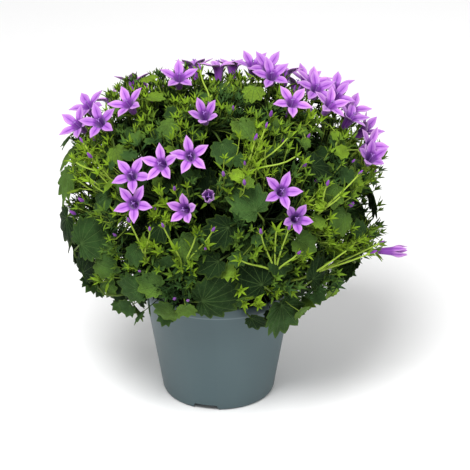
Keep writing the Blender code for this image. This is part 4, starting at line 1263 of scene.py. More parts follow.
def fine_bloom(form, thickness):
    """Return a five-lobed bell with its style, the seat at the origin and mouth along Z."""
    knots = petal_knots(form)
    bm = bmesh.new()
    for lobe in range(5):
        add_lobe(bm, knots, math.tau * (lobe + 0.5) / 5 + PETAL_START)
    bmesh.ops.remove_doubles(bm, verts=bm.verts, dist=0.02 * MM)
    seat = [e for e in bm.edges if e.is_boundary and max(v.co.z for v in e.verts) < 0.1 * MM]
    bmesh.ops.holes_fill(bm, edges=seat)
    bmesh.ops.recalc_face_normals(bm, faces=bm.faces)
    bm.normal_update()
    outward = sum(f.normal.dot(Vector((*f.calc_center_median().xy, 0))) for f in bm.faces
                  if f.calc_center_median().z < TUBE_LENGTH / 2)
    if outward < 0:
        bmesh.ops.reverse_faces(bm, faces=bm.faces)
    thicken(bm, thickness)
    add_style(bm)
    return mesh_from(bm, "bloom")


def add_mesh(bm, mesh):
    """Add a mesh to a bmesh, and remove it."""
    bm.from_mesh(mesh)
    bpy.data.meshes.remove(mesh)


def add_style(bm):
    """Add the pale style and its three curled stigma lobes to a bloom."""
    foot = lift(0.5 * MM)
    top = lift(STYLE_LENGTH)
    threads = [([foot, foot.lerp(top, 0.5), top], STYLE_RADII)]
    for lobe in range(3):
        angle = math.tau * lobe / 3
        bend = top + polar(1.1 * MM, angle, 0.9 * MM)
        tip = top + polar(1.5 * MM, angle, 0.5 * MM)
        threads.append(([top - lift(0.3 * MM), bend, tip], STIGMA_RADII))
    for points, radii in threads:
        thread = make_stalk(points, *radii, 6)
        for face in thread.polygons:
            face.material_index = STYLE_LOOK
        add_mesh(bm, thread)


def add_blades(bm, length, radius, height, lean, thickness):
    """Add a ring of five sepals that rise from a cup and lean out."""
    for index in range(5):
        angle = math.tau * (index + 0.5) / 5
        out = polar(1, angle, 0)
        tip = (lift(1) + out * lean).normalized()
        face = (lift(1) * lean - out).normalized()
        blade = fine_bract(length, thickness)
        blade.transform(place_matrix(polar(radius, angle, height), tip, face))
        add_mesh(bm, blade)


def fine_calyx(thickness):
    """Return a green cup with five narrow sepals, its foot at the origin."""
    bm = bmesh.new()
    add_cup(bm, 10, STALK_RADIUS, CALYX_RADIUS, CALYX_HEIGHT)
    add_blades(bm, SEPAL_LENGTH, 0.8 * CALYX_RADIUS, 0.55 * CALYX_HEIGHT, 0.95, thickness)
    return mesh_from(bm, "calyx")


def fine_bud(thickness):
    """Return a bud: a cup with sepals round a furled violet tip."""
    bm = bmesh.new()
    low = 0.36 * BUD_LENGTH
    add_cup(bm, 8, 0.6 * MM, 1.6 * MM, low)
    add_blades(bm, 0.62 * BUD_LENGTH, 1.2 * MM, 0.7 * low, 0.35, thickness)
    made = bmesh.ops.create_uvsphere(bm, u_segments=10, v_segments=8, radius=1)
    for vert in made["verts"]:
        height = (vert.co.z + 1) / 2
        flute = 1 + 0.12 * math.cos(5 * math.atan2(vert.co.y, vert.co.x))
        wide = 1.75 * MM * flute * (1 - 0.45 * height)
        vert.co = (vert.co.x * wide, vert.co.y * wide, (0.2 + 0.8 * height) * BUD_LENGTH)
    for face in {f for v in made["verts"] for f in v.link_faces}:
        face.material_index = VIOLET_LOOK
    return mesh_from(bm, "bud")


def fine_stalk(bend, first_radius, last_radius, steps, sides):
    """Return a smooth tapered stalk along a bend, from its far end to its root."""
    return make_stalk(curve_points(*bend, steps), first_radius, last_radius, sides)


def shade_and_age_share(point):
    """Return how much of its tone growth at a point keeps: painted shade darkens it deep inside the
    mound, standing partly for older growth there, and at the outside it keeps all.
    """
    reach = mound_measure(point, 1.0) ** (1 / MOUND_FULLNESS)
    return min(1.0, max(0.0, (reach - DARK_REACH) / (LIGHT_REACH - DARK_REACH)))


def add_object(name, mesh, materials=()):
    """Return a new object of a mesh in the scene, with its materials."""
    for material in materials:
        mesh.materials.append(material)
    body = bpy.data.objects.new(name, mesh)
    bpy.context.scene.collection.objects.link(body)
    return body


def gather(name, parts, materials, shade_inwards=False):
    """Return one object of placed copies of meshes, each with its own tone, darkened inwards by painted
    shade when asked.
    """
    bm = bmesh.new()
    for mesh, place, tone in parts:
        copy = mesh.copy()
        copy.transform(place)
        layer = copy.attributes.new(TONE_NAME, "FLOAT", "POINT")
        # Tone deep inside the mound is lowered: painted shade of the dense plant, partly older growth
        tones = [tone * shade_and_age_share(v.co) if shade_inwards else tone for v in copy.vertices]
        layer.data.foreach_set("value", tones)
        add_mesh(bm, copy)
    mesh = mesh_from(bm, name)
    mesh.shade_smooth()
    mesh.set_sharp_from_angle(angle=EDGE_ANGLE)
    return add_object(name, mesh, materials)


def tree_of(pieces):
    """Return one tree of all the pieces' faces, to keep finer growth off them."""
    points = []
    faces = []
    for piece in pieces:
        first = len(points)
        points += [piece.matrix @ v.co for v in piece.mesh.vertices]
        faces += [tuple(first + k for k in face) for face in piece.faces]
    return BVHTree.FromPolygons(points, faces)


class Dressing:
    """The fine parts of every shoot, with the small growth that fills the plant."""

    def __init__(self, plant, sizes):
        self.plant = plant
        self.blade = sizes.blade
        self.sizes = sizes
        self.draw = random.Random(SEED + 1)
        self.tufts = random.Random(SEED + 4)
        self.parts = {shoot: [] for shoot in plant.stems}
        self.blooms = [p for p in plant.pieces if p.kind == "bloom"]
        self.solid = [p for p in plant.pieces if p.kind in ("bloom", "leaf", "pot", "bud")]
        self.grown = []
        self.guards = self.view_guards()
        self.petals = tree_of(self.blooms)
        self.blades = None
        self.perches = []

    def off_petals(self, points, room):
        """Tell whether all points keep their distance from every petal."""
        return all(self.petals.find_nearest(p, room)[0] is None for p in points)

    def pierces(self, path, look):
        """Tell whether the outer end of a twig, or the growth on it, cuts a leaf."""
        line = [path[0] + look * TIP_REACH] + path[:3]
        for start, end in zip(line, line[1:]):
            away = end - start
            if self.blades.ray_cast(start, away.normalized(), away.length)[0] is not None:
                return True
        return False

    def view_guards(self):
        """Return what must stay in view at the front: place in the view, depth and radius."""
        guards = []
        for piece in self.plant.pieces:
            recipe = piece.recipe
            if piece.kind == "bloom" and recipe["look"].dot(TO_VIEWER) > 0.1:
                guards.append((piece.centre, BLOOM_GUARD))
            elif piece.kind == "leaf" and recipe["width"] > GUARDED_WIDTH:
                middle = recipe["place"] @ Vector((0, LEAF_BASE_SHARE * recipe["width"], 0))
                share = LOW_GUARD_SHARE if middle.dot(VIEW_UP) < GUARD_TOP else HIGH_GUARD_SHARE
                guards.append((middle, share * recipe["width"]))
        below = COLLAR_BASE - COLLAR_ROOM
        guards += [(Vector((across, -RIM_RADIUS, below)), COLLAR_ROOM) for across in COLLAR_SHOWS]
        return [(p.x, p.dot(VIEW_UP), p.dot(TO_VIEWER), r) for p, r in guards]

    def hides(self, point, reach):
        """Tell whether something at a point would hide a bloom or a large leaf."""
        across = point.x
        up = point.dot(VIEW_UP)
        near = point.dot(TO_VIEWER)
        if point.y < GUARD_BACK:
            for x, y, depth, radius in self.guards:
                if near > depth and math.hypot(across - x, up - y) < radius + 0.4 * reach:
                    return True
        for bloom in self.blooms:
            away = point - bloom.recipe["seat"]
            along = away.dot(bloom.recipe["look"])
            if LOOK_NEAREST < along < LOOK_FARTHEST:
                aside = (away - bloom.recipe["look"] * along).length
                if aside < LOOK_ROOM + 0.4 * reach:
                    return True
        return False

    def add(self, shoot, mesh, place, tone):
        """Add a placed mesh to a shoot."""
        self.parts[shoot].append((mesh, place, tone))

    def add_thin(self, shoot, bend, radii, tone, steps=STALK_STEPS, sides=6):
        """Add a thin stalk to a shoot, with the radii of its tip and its root."""
        self.add(shoot, fine_stalk(bend, *radii, steps, sides), Matrix(), tone)

    def add_bract(self, shoot, place, length, tone):
        """Add a narrow leaf of a length to a shoot."""
        self.add(shoot, shape(fine_bract, 1.0, self.blade), place @ Matrix.Scale(length, 4), tone)

    def add_bud(self, shoot, end, look, roll, size, tone):
        """Add a bud of a size at the end of a thin stalk."""
        place = aim_matrix(end - look * 0.5 * MM, look, roll)
        self.add(shoot, shape(fine_bud, self.blade), place @ Matrix.Scale(size, 4), tone)

    def dress_main(self):
        """Model finely each stem, leaf, head, bud and bract of the growth rule."""
        dress = {"stem": self.dress_stem, "leaf": self.dress_leaf, "head": self.dress_head,
                 "bud": self.dress_bud, "bract": self.dress_bract}
        for piece in self.plant.pieces:
            if piece.kind in dress:
                dress[piece.kind](piece, piece.recipe)

    def dress_stem(self, piece, recipe):
        """Model a main stem finely."""
        path = [recipe["foot"]] + curve_points(*recipe["bend"], STEM_STEPS)
        mesh = make_stalk(path, STEM_RADIUS, STEM_TOP_RADIUS, self.sizes.stalk_sides + 2)
        self.add(piece.node, mesh, Matrix(), STEM_TONE)
        self.perch_on(piece.node, path[2:])

    def dress_head(self, piece, recipe):
        """Model a calyx and its stalk finely."""
        self.add(piece.node, shape(fine_calyx, self.blade), recipe["place"], CALYX_TONE)
        self.add_stalk(piece.node, recipe["bend"], (STALK_RADIUS, STALK_RADIUS), BUD_TONE)

    def dress_leaf(self, piece, recipe):
        """Model a large leaf and its stalk finely."""
        width = recipe["width"]
        tone = self.leaf_tone(piece.centre, width)
        leaf = shape(fine_leaf, width, recipe["variant"], leaf_teeth(width) + FINE_TEETH,
                     FINE_GRAIN, FINE_RINGS, self.blade)
        self.add(piece.node, leaf, recipe["place"], tone)
        radii = (STALK_TIP_RADIUS, STALK_RADIUS)
        self.add_stalk(piece.node, recipe["bend"], radii, LEAF_STALK_TONE, perch=False)

    def dress_bud(self, piece, recipe):
        """Model a bud and its stalk finely."""
        self.add(piece.node, shape(fine_bud, self.blade), recipe["place"], BUD_TONE)
        self.add_stalk(piece.node, recipe["bend"], BUD_STALK_RADII, BUD_TONE)

    def dress_bract(self, piece, recipe):
        """Model a bract finely."""
        bract = shape(fine_bract, recipe["length"], self.blade)
        self.add(piece.node, bract, recipe["place"], BRACT_TONE)

    def leaf_tone(self, point, width):
        """Return how light a leaf is: small and high ones are the youngest."""
        young = 1 - (width - 8 * MM) / (24 * MM)
        tone = 0.14 + 0.4 * young + 0.3 * height_share(point) + self.draw.uniform(-0.42, 0.42)
        return max(0.0, min(0.42 + 0.5 * young, tone))

    def inside_box(self, points):
        """Tell whether all points lie inside the solids' box."""
        low, high = cad_box
        return all(low[k] < p[k] < high[k] for p in points for k in range(3))

    def drawn_in(self, point):
        """Return the point moved in until growth round it stays inside the solids' box."""
        low, high = cad_box
        room = Vector((TIP_ROOM, TIP_ROOM, TIP_ROOM))
        return Vector([min(max(point[k], low[k] + room[k]), high[k] - room[k]) for k in range(3)])

    def is_bare(self, point):
        """Tell whether a place is left open: the low sides are thin."""
        side = max(0.0, abs(point.x) / MOUND_SIZE.x - 0.4)
        low = min(1.0, (BARE_TOP - point.z) / BARE_FADE, 6 * (point.z - BARE_FOOT) / BARE_FADE)
        return self.draw.random() < (0.75 + 2.6 * side) * low

    def add_stalk(self, shoot, bend, radii, tone, perch=True):
        """Add the fine stalk of a solid's piece to a shoot."""
        self.add_thin(shoot, bend, radii, tone, sides=self.sizes.stalk_sides)
        if perch:
            self.perch_on(shoot, curve_points(*bend, STALK_STEPS)[1:][::-1])

    def perch_on(self, shoot, path):
        """Keep the points of a path as places where small growth may start."""
        for before, after in zip(path, path[1:]):
            aim = (after - before).normalized()
            count = max(1, round((after - before).length / SPOT_SPACING))
            for k in range(count):
                self.perches.append((before.lerp(after, k / count), aim, shoot))

    def settle_perches(self):
        """Sort the perches, so that the nearest can be looked up."""
        self.tree = KDTree(len(self.perches))
        for index, (point, _, _) in enumerate(self.perches):
            self.tree.insert(point, index)
        self.tree.balance()

    def shell_sites(self, count, low, high, floor):
        """Return places spread evenly round the plant between two levels of the mound."""
        sites = []
        for index in range(count):
            point = spiral_point(index, count, self.draw.uniform(-0.2, 0.2))
            level = (low + (high - low) * self.draw.random()) * self.lumps(point)
            point = at_level(point, level)
            over_pot = Vector((point.x, point.y)).length < RIM_RADIUS + 8 * MM
            if point.z > (POT_HEIGHT + 6 * MM if over_pot else floor):
                sites.append(point)
        self.draw.shuffle(sites)
        return sites

    def lumps(self, point):
        """Return how far the plant bulges or dips in a direction, near one."""
        waves = (math.sin(point.x / LUMP_SIZE + 1.3) + math.sin(point.y / LUMP_SIZE + 0.4)
                 + math.sin(point.z / LUMP_SIZE + 2.1))
        return 1 + LUMP_DEPTH * (waves / 3 - 0.4)

    def root_for(self, point, outward, drop):
        """Return the perch that growth at a point starts from, with its distance."""
        wish = point - outward * drop - lift(0.6 * drop)
        start, aim, shoot = self.perches[self.tree.find(wish)[1]]
        return start, aim, shoot, (point - start).length

    def is_clear(self, piece, others):
        """Tell whether a piece crosses none of the others."""
        for other in others:
            if (piece.centre - other.centre).length < piece.reach + other.reach:
                if piece.tree.overlap(other.tree):
                    return False
        return True

    def grow_small_leaf(self, point, width, tone):
        """Grow one small leaf towards a point, if it is clear there."""
        outward = mound_normal(point)
        if self.hides(point, width):
            return
        start, along, shoot, far = self.root_for(point, outward, LEAF_DROP)
        if not LEAF_NEAREST < far < FARTHEST:
            return
        face = (outward + lift(0.5) + shaken(self.draw, LEAF_JITTER)).normalized()
        tip = point - start + lift(-0.3 * far)
        tip = (tip - face * tip.dot(face)).normalized()
        base = point - tip * LEAF_BASE_SHARE * width
        mesh = shape(fine_leaf, 1, self.draw.randrange(3), 7 if width < 12 * MM else 9,
                     SMALL_GRAIN, (), SMALL_BLADE)
        place = place_matrix(base, tip, face) @ Matrix.Scale(width, 4)
        blade = Piece(shoot, "small", mesh, place)
        if not self.inside_box([place @ v.co for v in mesh.vertices]):
            return
        if not self.is_clear(blade, self.solid) or not self.is_clear(blade, self.grown):
            return
        leave = ((base - start).normalized() + 0.6 * along).normalized()
        thin = 0.3 * MM + 0.012 * width
        self.grown.append(blade)
        self.add(shoot, mesh, place, tone)
        bend = (base, -tip, start, -leave)
        radii = (0.7 * thin, thin)
        self.add_thin(shoot, bend, radii, min(1.0, tone + 0.15), SMALL_STEPS, THIN_SIDES)

    def fill(self):
        """Grow the small leaves inside, on the outline and round the rim."""
        for point in self.shell_sites(self.sizes.inner_leaves, *INNER_LEVELS, INNER_FLOOR):
            width = self.draw.uniform(*INNER_WIDTHS) * MM
            # Inner leaves get a low tone: partly older growth, partly painted shade of the plant's dark
            # inside
            self.grow_small_leaf(point, width, self.draw.uniform(0.0, 0.2))
        for point in self.shell_sites(self.sizes.outer_leaves, *OUTER_LEVELS, OUTER_FLOOR):
            high = height_share(point)
            if self.draw.random() < high - 0.25 or self.is_bare(point):
                continue
            width = (14 - 6 * high + self.draw.uniform(-3, 3)) * MM
            self.grow_small_leaf(point, width, self.leaf_tone(point, width))

    def twig_tone(self, point):
        """Return how light a twig is: they are brightest in patches, and high up."""
        patch = (math.sin(point.x / PATCH_SIZE + 0.6)
                 * math.sin(point.z / PATCH_SIZE + point.y / PATCH_SIZE))
        tone = 0.52 + 0.34 * patch + 0.3 * height_share(point) + self.draw.uniform(-0.25, 0.25)
        return max(0.15, min(1.0, tone))

    def grow_twig(self, end):
        """Grow one thin light twig, if it is clear at a place."""
        outward = mound_normal(end)
        if self.hides(end, TWIG_REACH):
            return
        start, along, shoot, far = self.root_for(end, outward, TWIG_DROP)
        if not TWIG_NEAREST < far < FARTHEST:
            return
        look = (outward + lift(0.8) + 0.3 * along).normalized()
        leave = ((end - start).normalized() + along).normalized()
        bend = (end, -look, start, -leave)
        room = Vector((BUD_ROOM, BUD_ROOM, BUD_ROOM))
        if not self.inside_box([end + room, end - room]):
            return
        path = curve_points(*bend, 9)
        if not self.off_petals([end], BUD_ROOM) or not self.off_petals(path, TWIG_ROOM):
            return
        if self.pierces(path, look):
            return
        tone = self.twig_tone(end)
        self.add_thin(shoot, bend, TWIG_RADII, tone, TWIG_STEPS, THIN_SIDES)
        self.leaf_twig(shoot, end, path, look, tone)

    def leaf_twig(self, shoot, end, path, look, tone):
        """Grow a twig's narrow leaves, and the bud or tuft at its end."""
        roll = self.draw.uniform(0, math.tau)
        for k in range(1, 7):
            aim = (path[k - 1] - path[k + 1]).normalized()
            side = side_of(aim, roll + k * GOLDEN_ANGLE)
            place = place_matrix(path[k], aim * 0.8 + side, aim - 0.4 * side)
            length = self.draw.uniform(*TWIG_LEAF_LENGTHS) * MM
            self.add_bract(shoot, place, length, tone)
        size = self.draw.uniform(*TWIG_BUD_SIZES)
        if self.draw.random() < BUD_SHARE:
            self.add_bud(shoot, end, look, roll, size, tone)
        else:
            self.grow_tuft(shoot, end, look, TUFT_LENGTH * size, tone)

    def grow_tuft(self, shoot, end, look, length, tone):
        """Grow the few narrow young leaves at the end of a twig."""
        for k in range(5):
            side = side_of(look, k * math.tau / 5 + tone * 9)
            lean = self.tufts.uniform(0.3, 0.9)
            place = place_matrix(end - look * 0.4 * MM, look + side * lean, look * lean - side)
            self.add_bract(shoot, place, length * self.tufts.uniform(0.8, 1.3), min(1.0, tone + 0.1))

    def grow_spray(self, foot_seen, tips_seen):
        """Grow one light spray: a short stem that forks into stalks with buds or young leaves."""
        foot = place_seen(*foot_seen, "front", SPRAY_FOOT_LEVEL)
        ends = [self.drawn_in(place_seen(*seen, "front", SPRAY_TIP_LEVEL)) for seen in tips_seen]
        rise = (sum(ends, Vector()) / len(ends) - foot).normalized()
        start, along, shoot, _ = self.root_for(foot, mound_normal(foot), LEAF_DROP)
        leave = ((foot - start).normalized() + 0.5 * along).normalized()
        self.add_thin(shoot, (foot, -rise, start, -leave), SPRAY_RADII, SPRAY_TONE)
        for number, end in enumerate(ends):
            self.grow_ray(shoot, foot, rise, end, number)

    def grow_ray(self, shoot, foot, rise, end, number):
        """Grow one stalk of a spray with its narrow leaves and its bud or tuft."""
        look = ((end - foot).normalized() + 0.4 * mound_normal(end) + lift(0.4)).normalized()
        leave = (rise + (end - foot).normalized()).normalized()
        bend = (end, -look, foot, -leave)
        if not self.off_petals(curve_points(*bend, 9), RAY_ROOM):
            return
        self.add_thin(shoot, bend, RAY_RADII, RAY_TONE)
        path = curve_points(*bend, 7)
        for k in (2, 4):
            aim = (path[k - 1] - path[k + 1]).normalized()
            side = side_of(aim, self.tufts.uniform(0, math.tau))
            place = place_matrix(path[k], aim + side, aim - 0.5 * side)
            length = self.tufts.uniform(*SPRAY_LEAF_LENGTHS) * MM
            self.add_bract(shoot, place, length, SPRAY_TONE)
        if number % 2:
            self.grow_tuft(shoot, end, look, TUFT_LENGTH, SPRAY_TONE)
        else:
            roll = self.tufts.uniform(0, math.tau)
            size = self.tufts.uniform(*SPRAY_BUD_SIZES)
            self.add_bud(shoot, end, look, roll, size, BUD_TONE)

    def sprout(self):
        """Grow the twigs of the upper plant."""
        self.blades = tree_of([p for p in self.plant.pieces if p.kind == "leaf"] + self.grown)
        for point in self.shell_sites(self.sizes.twigs, *TWIG_LEVELS, TWIG_FLOOR):
            self.grow_twig(point)


@cache
def dressing():
    """Return the dressed plant, grown when it is first wanted."""
    plant = Plant([pot_guide()])
    plant.grow()
    made = Dressing(plant, bpy.context.scene.bellflower_sizes)
    made.dress_main()
    made.settle_perches()
    for foot, tips in FRONT_SPRAYS:
        made.grow_spray(foot, tips)
    made.fill()
    made.sprout()
    return made


def shoot_nodes(plant):
    """Return the name of each shoot's solid."""
    return {shoot: "shoot_%02d" % number for number, shoot in enumerate(plant.stems, 1)}


def pot_mesh():
    """Return the fine pot: a spun section with bevelled rings."""
    bm = bmesh.new()
    verts = [bm.verts.new((radius, 0, height)) for radius, height in pot_profile()]
    edges = [bm.edges.new(pair) for pair in zip(verts, verts[1:])]
    bmesh.ops.spin(bm, geom=verts + edges, cent=(0, 0, 0), axis=(0, 0, 1), angle=math.tau,
                   steps=POT_FINE_STEPS, use_merge=True)
    bmesh.ops.remove_doubles(bm, verts=bm.verts, dist=MERGE)
    bmesh.ops.recalc_face_normals(bm, faces=bm.faces)
    rings = [e for e in bm.edges if len(e.link_faces) == 2 and e.calc_face_angle() > POT_RING_ANGLE
             and e.verts[0].co.xy.length > CENTRE_FOOT_RADIUS / 2]
    bmesh.ops.bevel(bm, geom=rings, offset=POT_EDGE, segments=2, profile=0.5, affect="EDGES",
                    material=-1, clamp_overlap=True)
    return mesh_from(bm, "pot_fine")


def notch_cutter():
    """Return the mesh that cuts one sloped notch out of the foot ring."""
    bm = bmesh.new()
    bmesh.ops.create_cube(bm, size=1.0)
    below = 2 * MM
    bmesh.ops.scale(bm, vec=(NOTCH_DEPTH, NOTCH_WIDTH, NOTCH_HEIGHT + below), verts=bm.verts)
    bmesh.ops.translate(bm, vec=(0, 0, (NOTCH_HEIGHT - below) / 2), verts=bm.verts)
    for vert in bm.verts:
        if vert.co.z > 0:
            vert.co.y -= math.copysign(NOTCH_SLOPE, vert.co.y)
    return mesh_from(bm, "notch")


def cut_notches(pot):
    """Cut the sloped notches out of the foot ring, and keep the result as the mesh."""
    cutters = bpy.data.collections.new("foot_notches")
    bpy.context.scene.collection.children.link(cutters)
    for index in range(NOTCH_COUNT):
        angle = NOTCH_FIRST_ANGLE + math.tau * index / NOTCH_COUNT
        cutter = bpy.data.objects.new("notch", notch_cutter())
        place = Matrix.Translation((BASE_RADIUS - MM, 0, 0))
        cutter.matrix_world = Matrix.Rotation(angle, 4, "Z") @ place
        cutters.objects.link(cutter)
    cut = pot.modifiers.new("Notches", "BOOLEAN")
    cut.operation = "DIFFERENCE"
    cut.operand_type = "COLLECTION"
    cut.collection = cutters
    cut.solver = "EXACT"
    bpy.context.view_layer.update()
    graph = bpy.context.evaluated_depsgraph_get()
    mesh = bpy.data.meshes.new_from_object(pot.evaluated_get(graph))
    pot.modifiers.clear()
    pot.data = mesh
    for old in list(cutters.objects):
        bpy.data.objects.remove(old, do_unlink=True)
    bpy.data.collections.remove(cutters)


def crumb_parts(count):
    """Return small rough lumps of peat, half sunk in the top of the compost."""
    draw = random.Random(SEED + 2)
    forms = []
    for _ in range(6):
        bm = bmesh.new()
        bmesh.ops.create_icosphere(bm, subdivisions=1, radius=1)
        for vert in bm.verts:
            vert.co *= draw.uniform(0.65, 1.15)
        forms.append(mesh_from(bm, "crumb"))
    parts = []
    reach = wall_radius(SOIL_LEVEL) - WALL - 3 * MM
    for index in range(count):
        far = reach * math.sqrt((index + 0.5) / count)
        size = draw.uniform(*CRUMB_RADII)
        place = Matrix.Translation(polar(far, index * GOLDEN_ANGLE, SOIL_LEVEL + 0.1 * size))
        turn = (Matrix.Rotation(draw.uniform(0, math.tau), 4, "Z")
                @ Matrix.Rotation(draw.uniform(0, 3), 4, "X"))
        flat = Matrix.Diagonal((size * draw.uniform(1, 1.7), size, 0.75 * size, 1))
        parts.append((draw.choice(forms), place @ turn @ flat, draw.random()))
    return parts


def fill_input(tree, socket, value):
    """Link an input to another node, or set its value."""
    if isinstance(value, bpy.types.NodeSocket):
        tree.links.new(value, socket)
    else:
        socket.default_value = value


def put(tree, kind, inputs=(), **values):
    """Add a shader node, set its values and link or fill its inputs."""
    made = tree.nodes.new(kind)
    for name, value in values.items():
        setattr(made, name, value)
    for key, value in dict(inputs).items():
        fill_input(tree, made.inputs[key], value)
    return made


def math_of(tree, operation, first, second=0.0):
    """Return the result of one math node."""
    return put(tree, "ShaderNodeMath", {0: first, 1: second}, operation=operation).outputs[0]


def times(tree, first, second):
    """Return the product of two values."""
    return math_of(tree, "MULTIPLY", first, second)


def ramp_of(tree, value, low, high):
    """Return how far a value has come from low to high, smoothly, from 0 to 1."""
    made = put(tree, "ShaderNodeMapRange", {"Value": value, "From Min": low, "From Max": high},
               interpolation_type="SMOOTHSTEP")
    return made.outputs["Result"]


def mix_of(tree, factor, first, second, blend="MIX"):
    """Return the mix of two colours."""
    made = put(tree, "ShaderNodeMix", {"Factor": factor, 6: opaque(first), 7: opaque(second)},
               data_type="RGBA", blend_type=blend)
    return made.outputs[2]


def object_place(tree):
    """Return the place on the object."""
    return put(tree, "ShaderNodeTexCoord").outputs["Object"]


def noise_of(tree, scale, detail, stretch=None):
    """Return a noise value that lies on the object."""
    place = object_place(tree)
    if stretch:
        place = put(tree, "ShaderNodeMapping", {"Vector": place, "Scale": stretch}).outputs[0]
    return put(tree, "ShaderNodeTexNoise", {"Vector": place, "Scale": scale,
                                            "Detail": detail}).outputs["Fac"]


def growth_of(tree):
    """Return how far across and along its blade a place is."""
    grown = put(tree, "ShaderNodeUVMap", uv_map=UV_NAME).outputs[0]
    split = put(tree, "ShaderNodeSeparateXYZ", {0: grown})
    return split.outputs[0], split.outputs[1]


def tone_of(tree):
    """Return the tone of a place."""
    return put(tree, "ShaderNodeAttribute", attribute_name=TONE_NAME).outputs["Fac"]


def new_group(name, inputs, outputs):
    """Return a node group of plain numbers, and its inputs."""
    group = bpy.data.node_groups.new(name, "ShaderNodeTree")
    for label, value in inputs.items():
        socket = group.interface.new_socket(label, in_out="INPUT", socket_type="NodeSocketFloat")
        socket.default_value = value
    for label in outputs:
        group.interface.new_socket(label, in_out="OUTPUT", socket_type="NodeSocketFloat")
    return group, put(group, "NodeGroupInput").outputs


def grain_group():
    """Return the group that gives fine uneven grain: a mask and a height."""
    group, given = new_group("fine_grain", {"Scale": 400.0, "Spread": 60.0}, ("Mask", "Height"))
    broad = noise_of(group, given["Spread"], 3.0)
    put(group, "NodeGroupOutput", {"Mask": ramp_of(group, broad, 0.3, 0.7),
                                   "Height": noise_of(group, given["Scale"], 2.0)})
    return group


def growth_group():
    """Return the group that gives a leaf's veins, its rim and its tone."""
    group, given = new_group("leaf_growth", {"Vein Width": 0.07}, ("Veins", "Rim", "Tone"))
    across, along = growth_of(group)
    off = math_of(group, "PINGPONG", across, 0.5)
    main_vein = ramp_of(group, times(group, off, along), given["Vein Width"], 0.0)
    slanted = math_of(group, "ADD", times(group, along, 5.0), times(group, off, -2.4))
    side = math_of(group, "PINGPONG", slanted, 0.5)
    side_vein = times(group, ramp_of(group, side, 0.08, 0.0), 0.5)
    put(group, "NodeGroupOutput", {"Veins": math_of(group, "MAXIMUM", main_vein, side_vein),
                                   "Rim": ramp_of(group, along, 0.85, 1.0), "Tone": tone_of(group)})
    return group


def opaque(colour):
    """Return a colour with full alpha, or a node's colour as it is."""
    return colour if isinstance(colour, bpy.types.NodeSocket) else (*colour, 1.0)


def shared_group(name, make):
    """Return the node group of a name, made when it is first wanted."""
    return bpy.data.node_groups.get(name) or make()


class Paint:
    """A material that is built up coat by coat."""

    def __init__(self, name, roughness, grain=None, **constants):
        self.material = bpy.data.materials.new(name)
        self.material.use_nodes = True
        self.tree = self.material.node_tree
        self.shader = self.tree.nodes["Principled BSDF"]
        self.body = None
        self.shader.inputs["Roughness"].default_value = roughness
        for key, value in constants.items():
            self.shader.inputs[key.replace("_", " ")].default_value = value
        if grain:
            made = put(self.tree, "ShaderNodeGroup", {"Scale": grain[0], "Spread": grain[1]},
                       node_tree=shared_group("fine_grain", grain_group))
            self.mask = made.outputs["Mask"]
            self.height = made.outputs["Height"]

    def start(self, factor, first, second):
        """Start the colour as a mix of two."""
        self.body = mix_of(self.tree, factor, first, second)

    def coat(self, mask, share, colour, blend="MIX"):
        """Lay a colour over what there is, at most by a share where the mask says."""
        factor = times(self.tree, mask, share) if share != 1 else mask
        self.body = mix_of(self.tree, factor, self.body, colour, blend)

    def roughen(self, base, mask, share):
        """Make the roughness vary with a mask."""
        rough = math_of(self.tree, "ADD", base, times(self.tree, mask, share))
        self.tree.links.new(rough, self.shader.inputs["Roughness"])

    def done(self, relief=None, distance=0.0, strength=1.0):
        """Give the shader its colour and its relief, and return the material."""
        self.tree.links.new(self.body, self.shader.inputs["Base Color"])
        if relief is not None:
            bump = put(self.tree, "ShaderNodeBump", {"Height": relief, "Distance": distance,
                                                     "Strength": strength})
            self.tree.links.new(bump.outputs[0], self.shader.inputs["Normal"])
        return self.material


def leaf_growth(tree):
    """Return the outputs of the leaf's growth group."""
    return put(tree, "ShaderNodeGroup", {"Vein Width": 0.06},
               node_tree=shared_group("leaf_growth", growth_group)).outputs


def leaf_look(name, colours, pale=False):
    """Return the look of a leaf's face: toned, blotched and veined."""
    made = Paint(name, 0.6, (900.0, 150.0), Specular_IOR_Level=0.05)
    tree = made.tree
    growth = leaf_growth(tree)
    made.start(ramp_of(tree, growth["Tone"], 0.05, 0.6), colours.leaf_dark, colours.leaf_middle)
    made.coat(ramp_of(tree, growth["Tone"], 0.45, 0.95), 1, colours.leaf_young)
    made.coat(made.mask, 0.6, LEAF_BLOTCH, "MULTIPLY")
    made.coat(growth["Veins"], 0.38, colours.vein)
    made.coat(growth["Rim"], 0.12, colours.leaf_young)
    if pale:
        made.coat(0.4, 1, colours.leaf_under)
    made.roughen(0.52, made.mask, 0.18)
    return made.done(math_of(tree, "SUBTRACT", made.height, growth["Veins"]), 0.0006, 0.8)


def stem_look(colours):
    """Return the look of stems and stalks: light green, ribbed and toned."""
    made = Paint("stem_green", 0.5, (1500.0, 90.0), Specular_IOR_Level=0.12)
    made.start(ramp_of(made.tree, tone_of(made.tree), 0.3, 1.0), colours.stem_old_and_shaded, colours.stem_young)
    made.coat(made.mask, 0.25, STEM_BLUSH, "MULTIPLY")
    return made.done(made.height, 0.0002, 0.5)


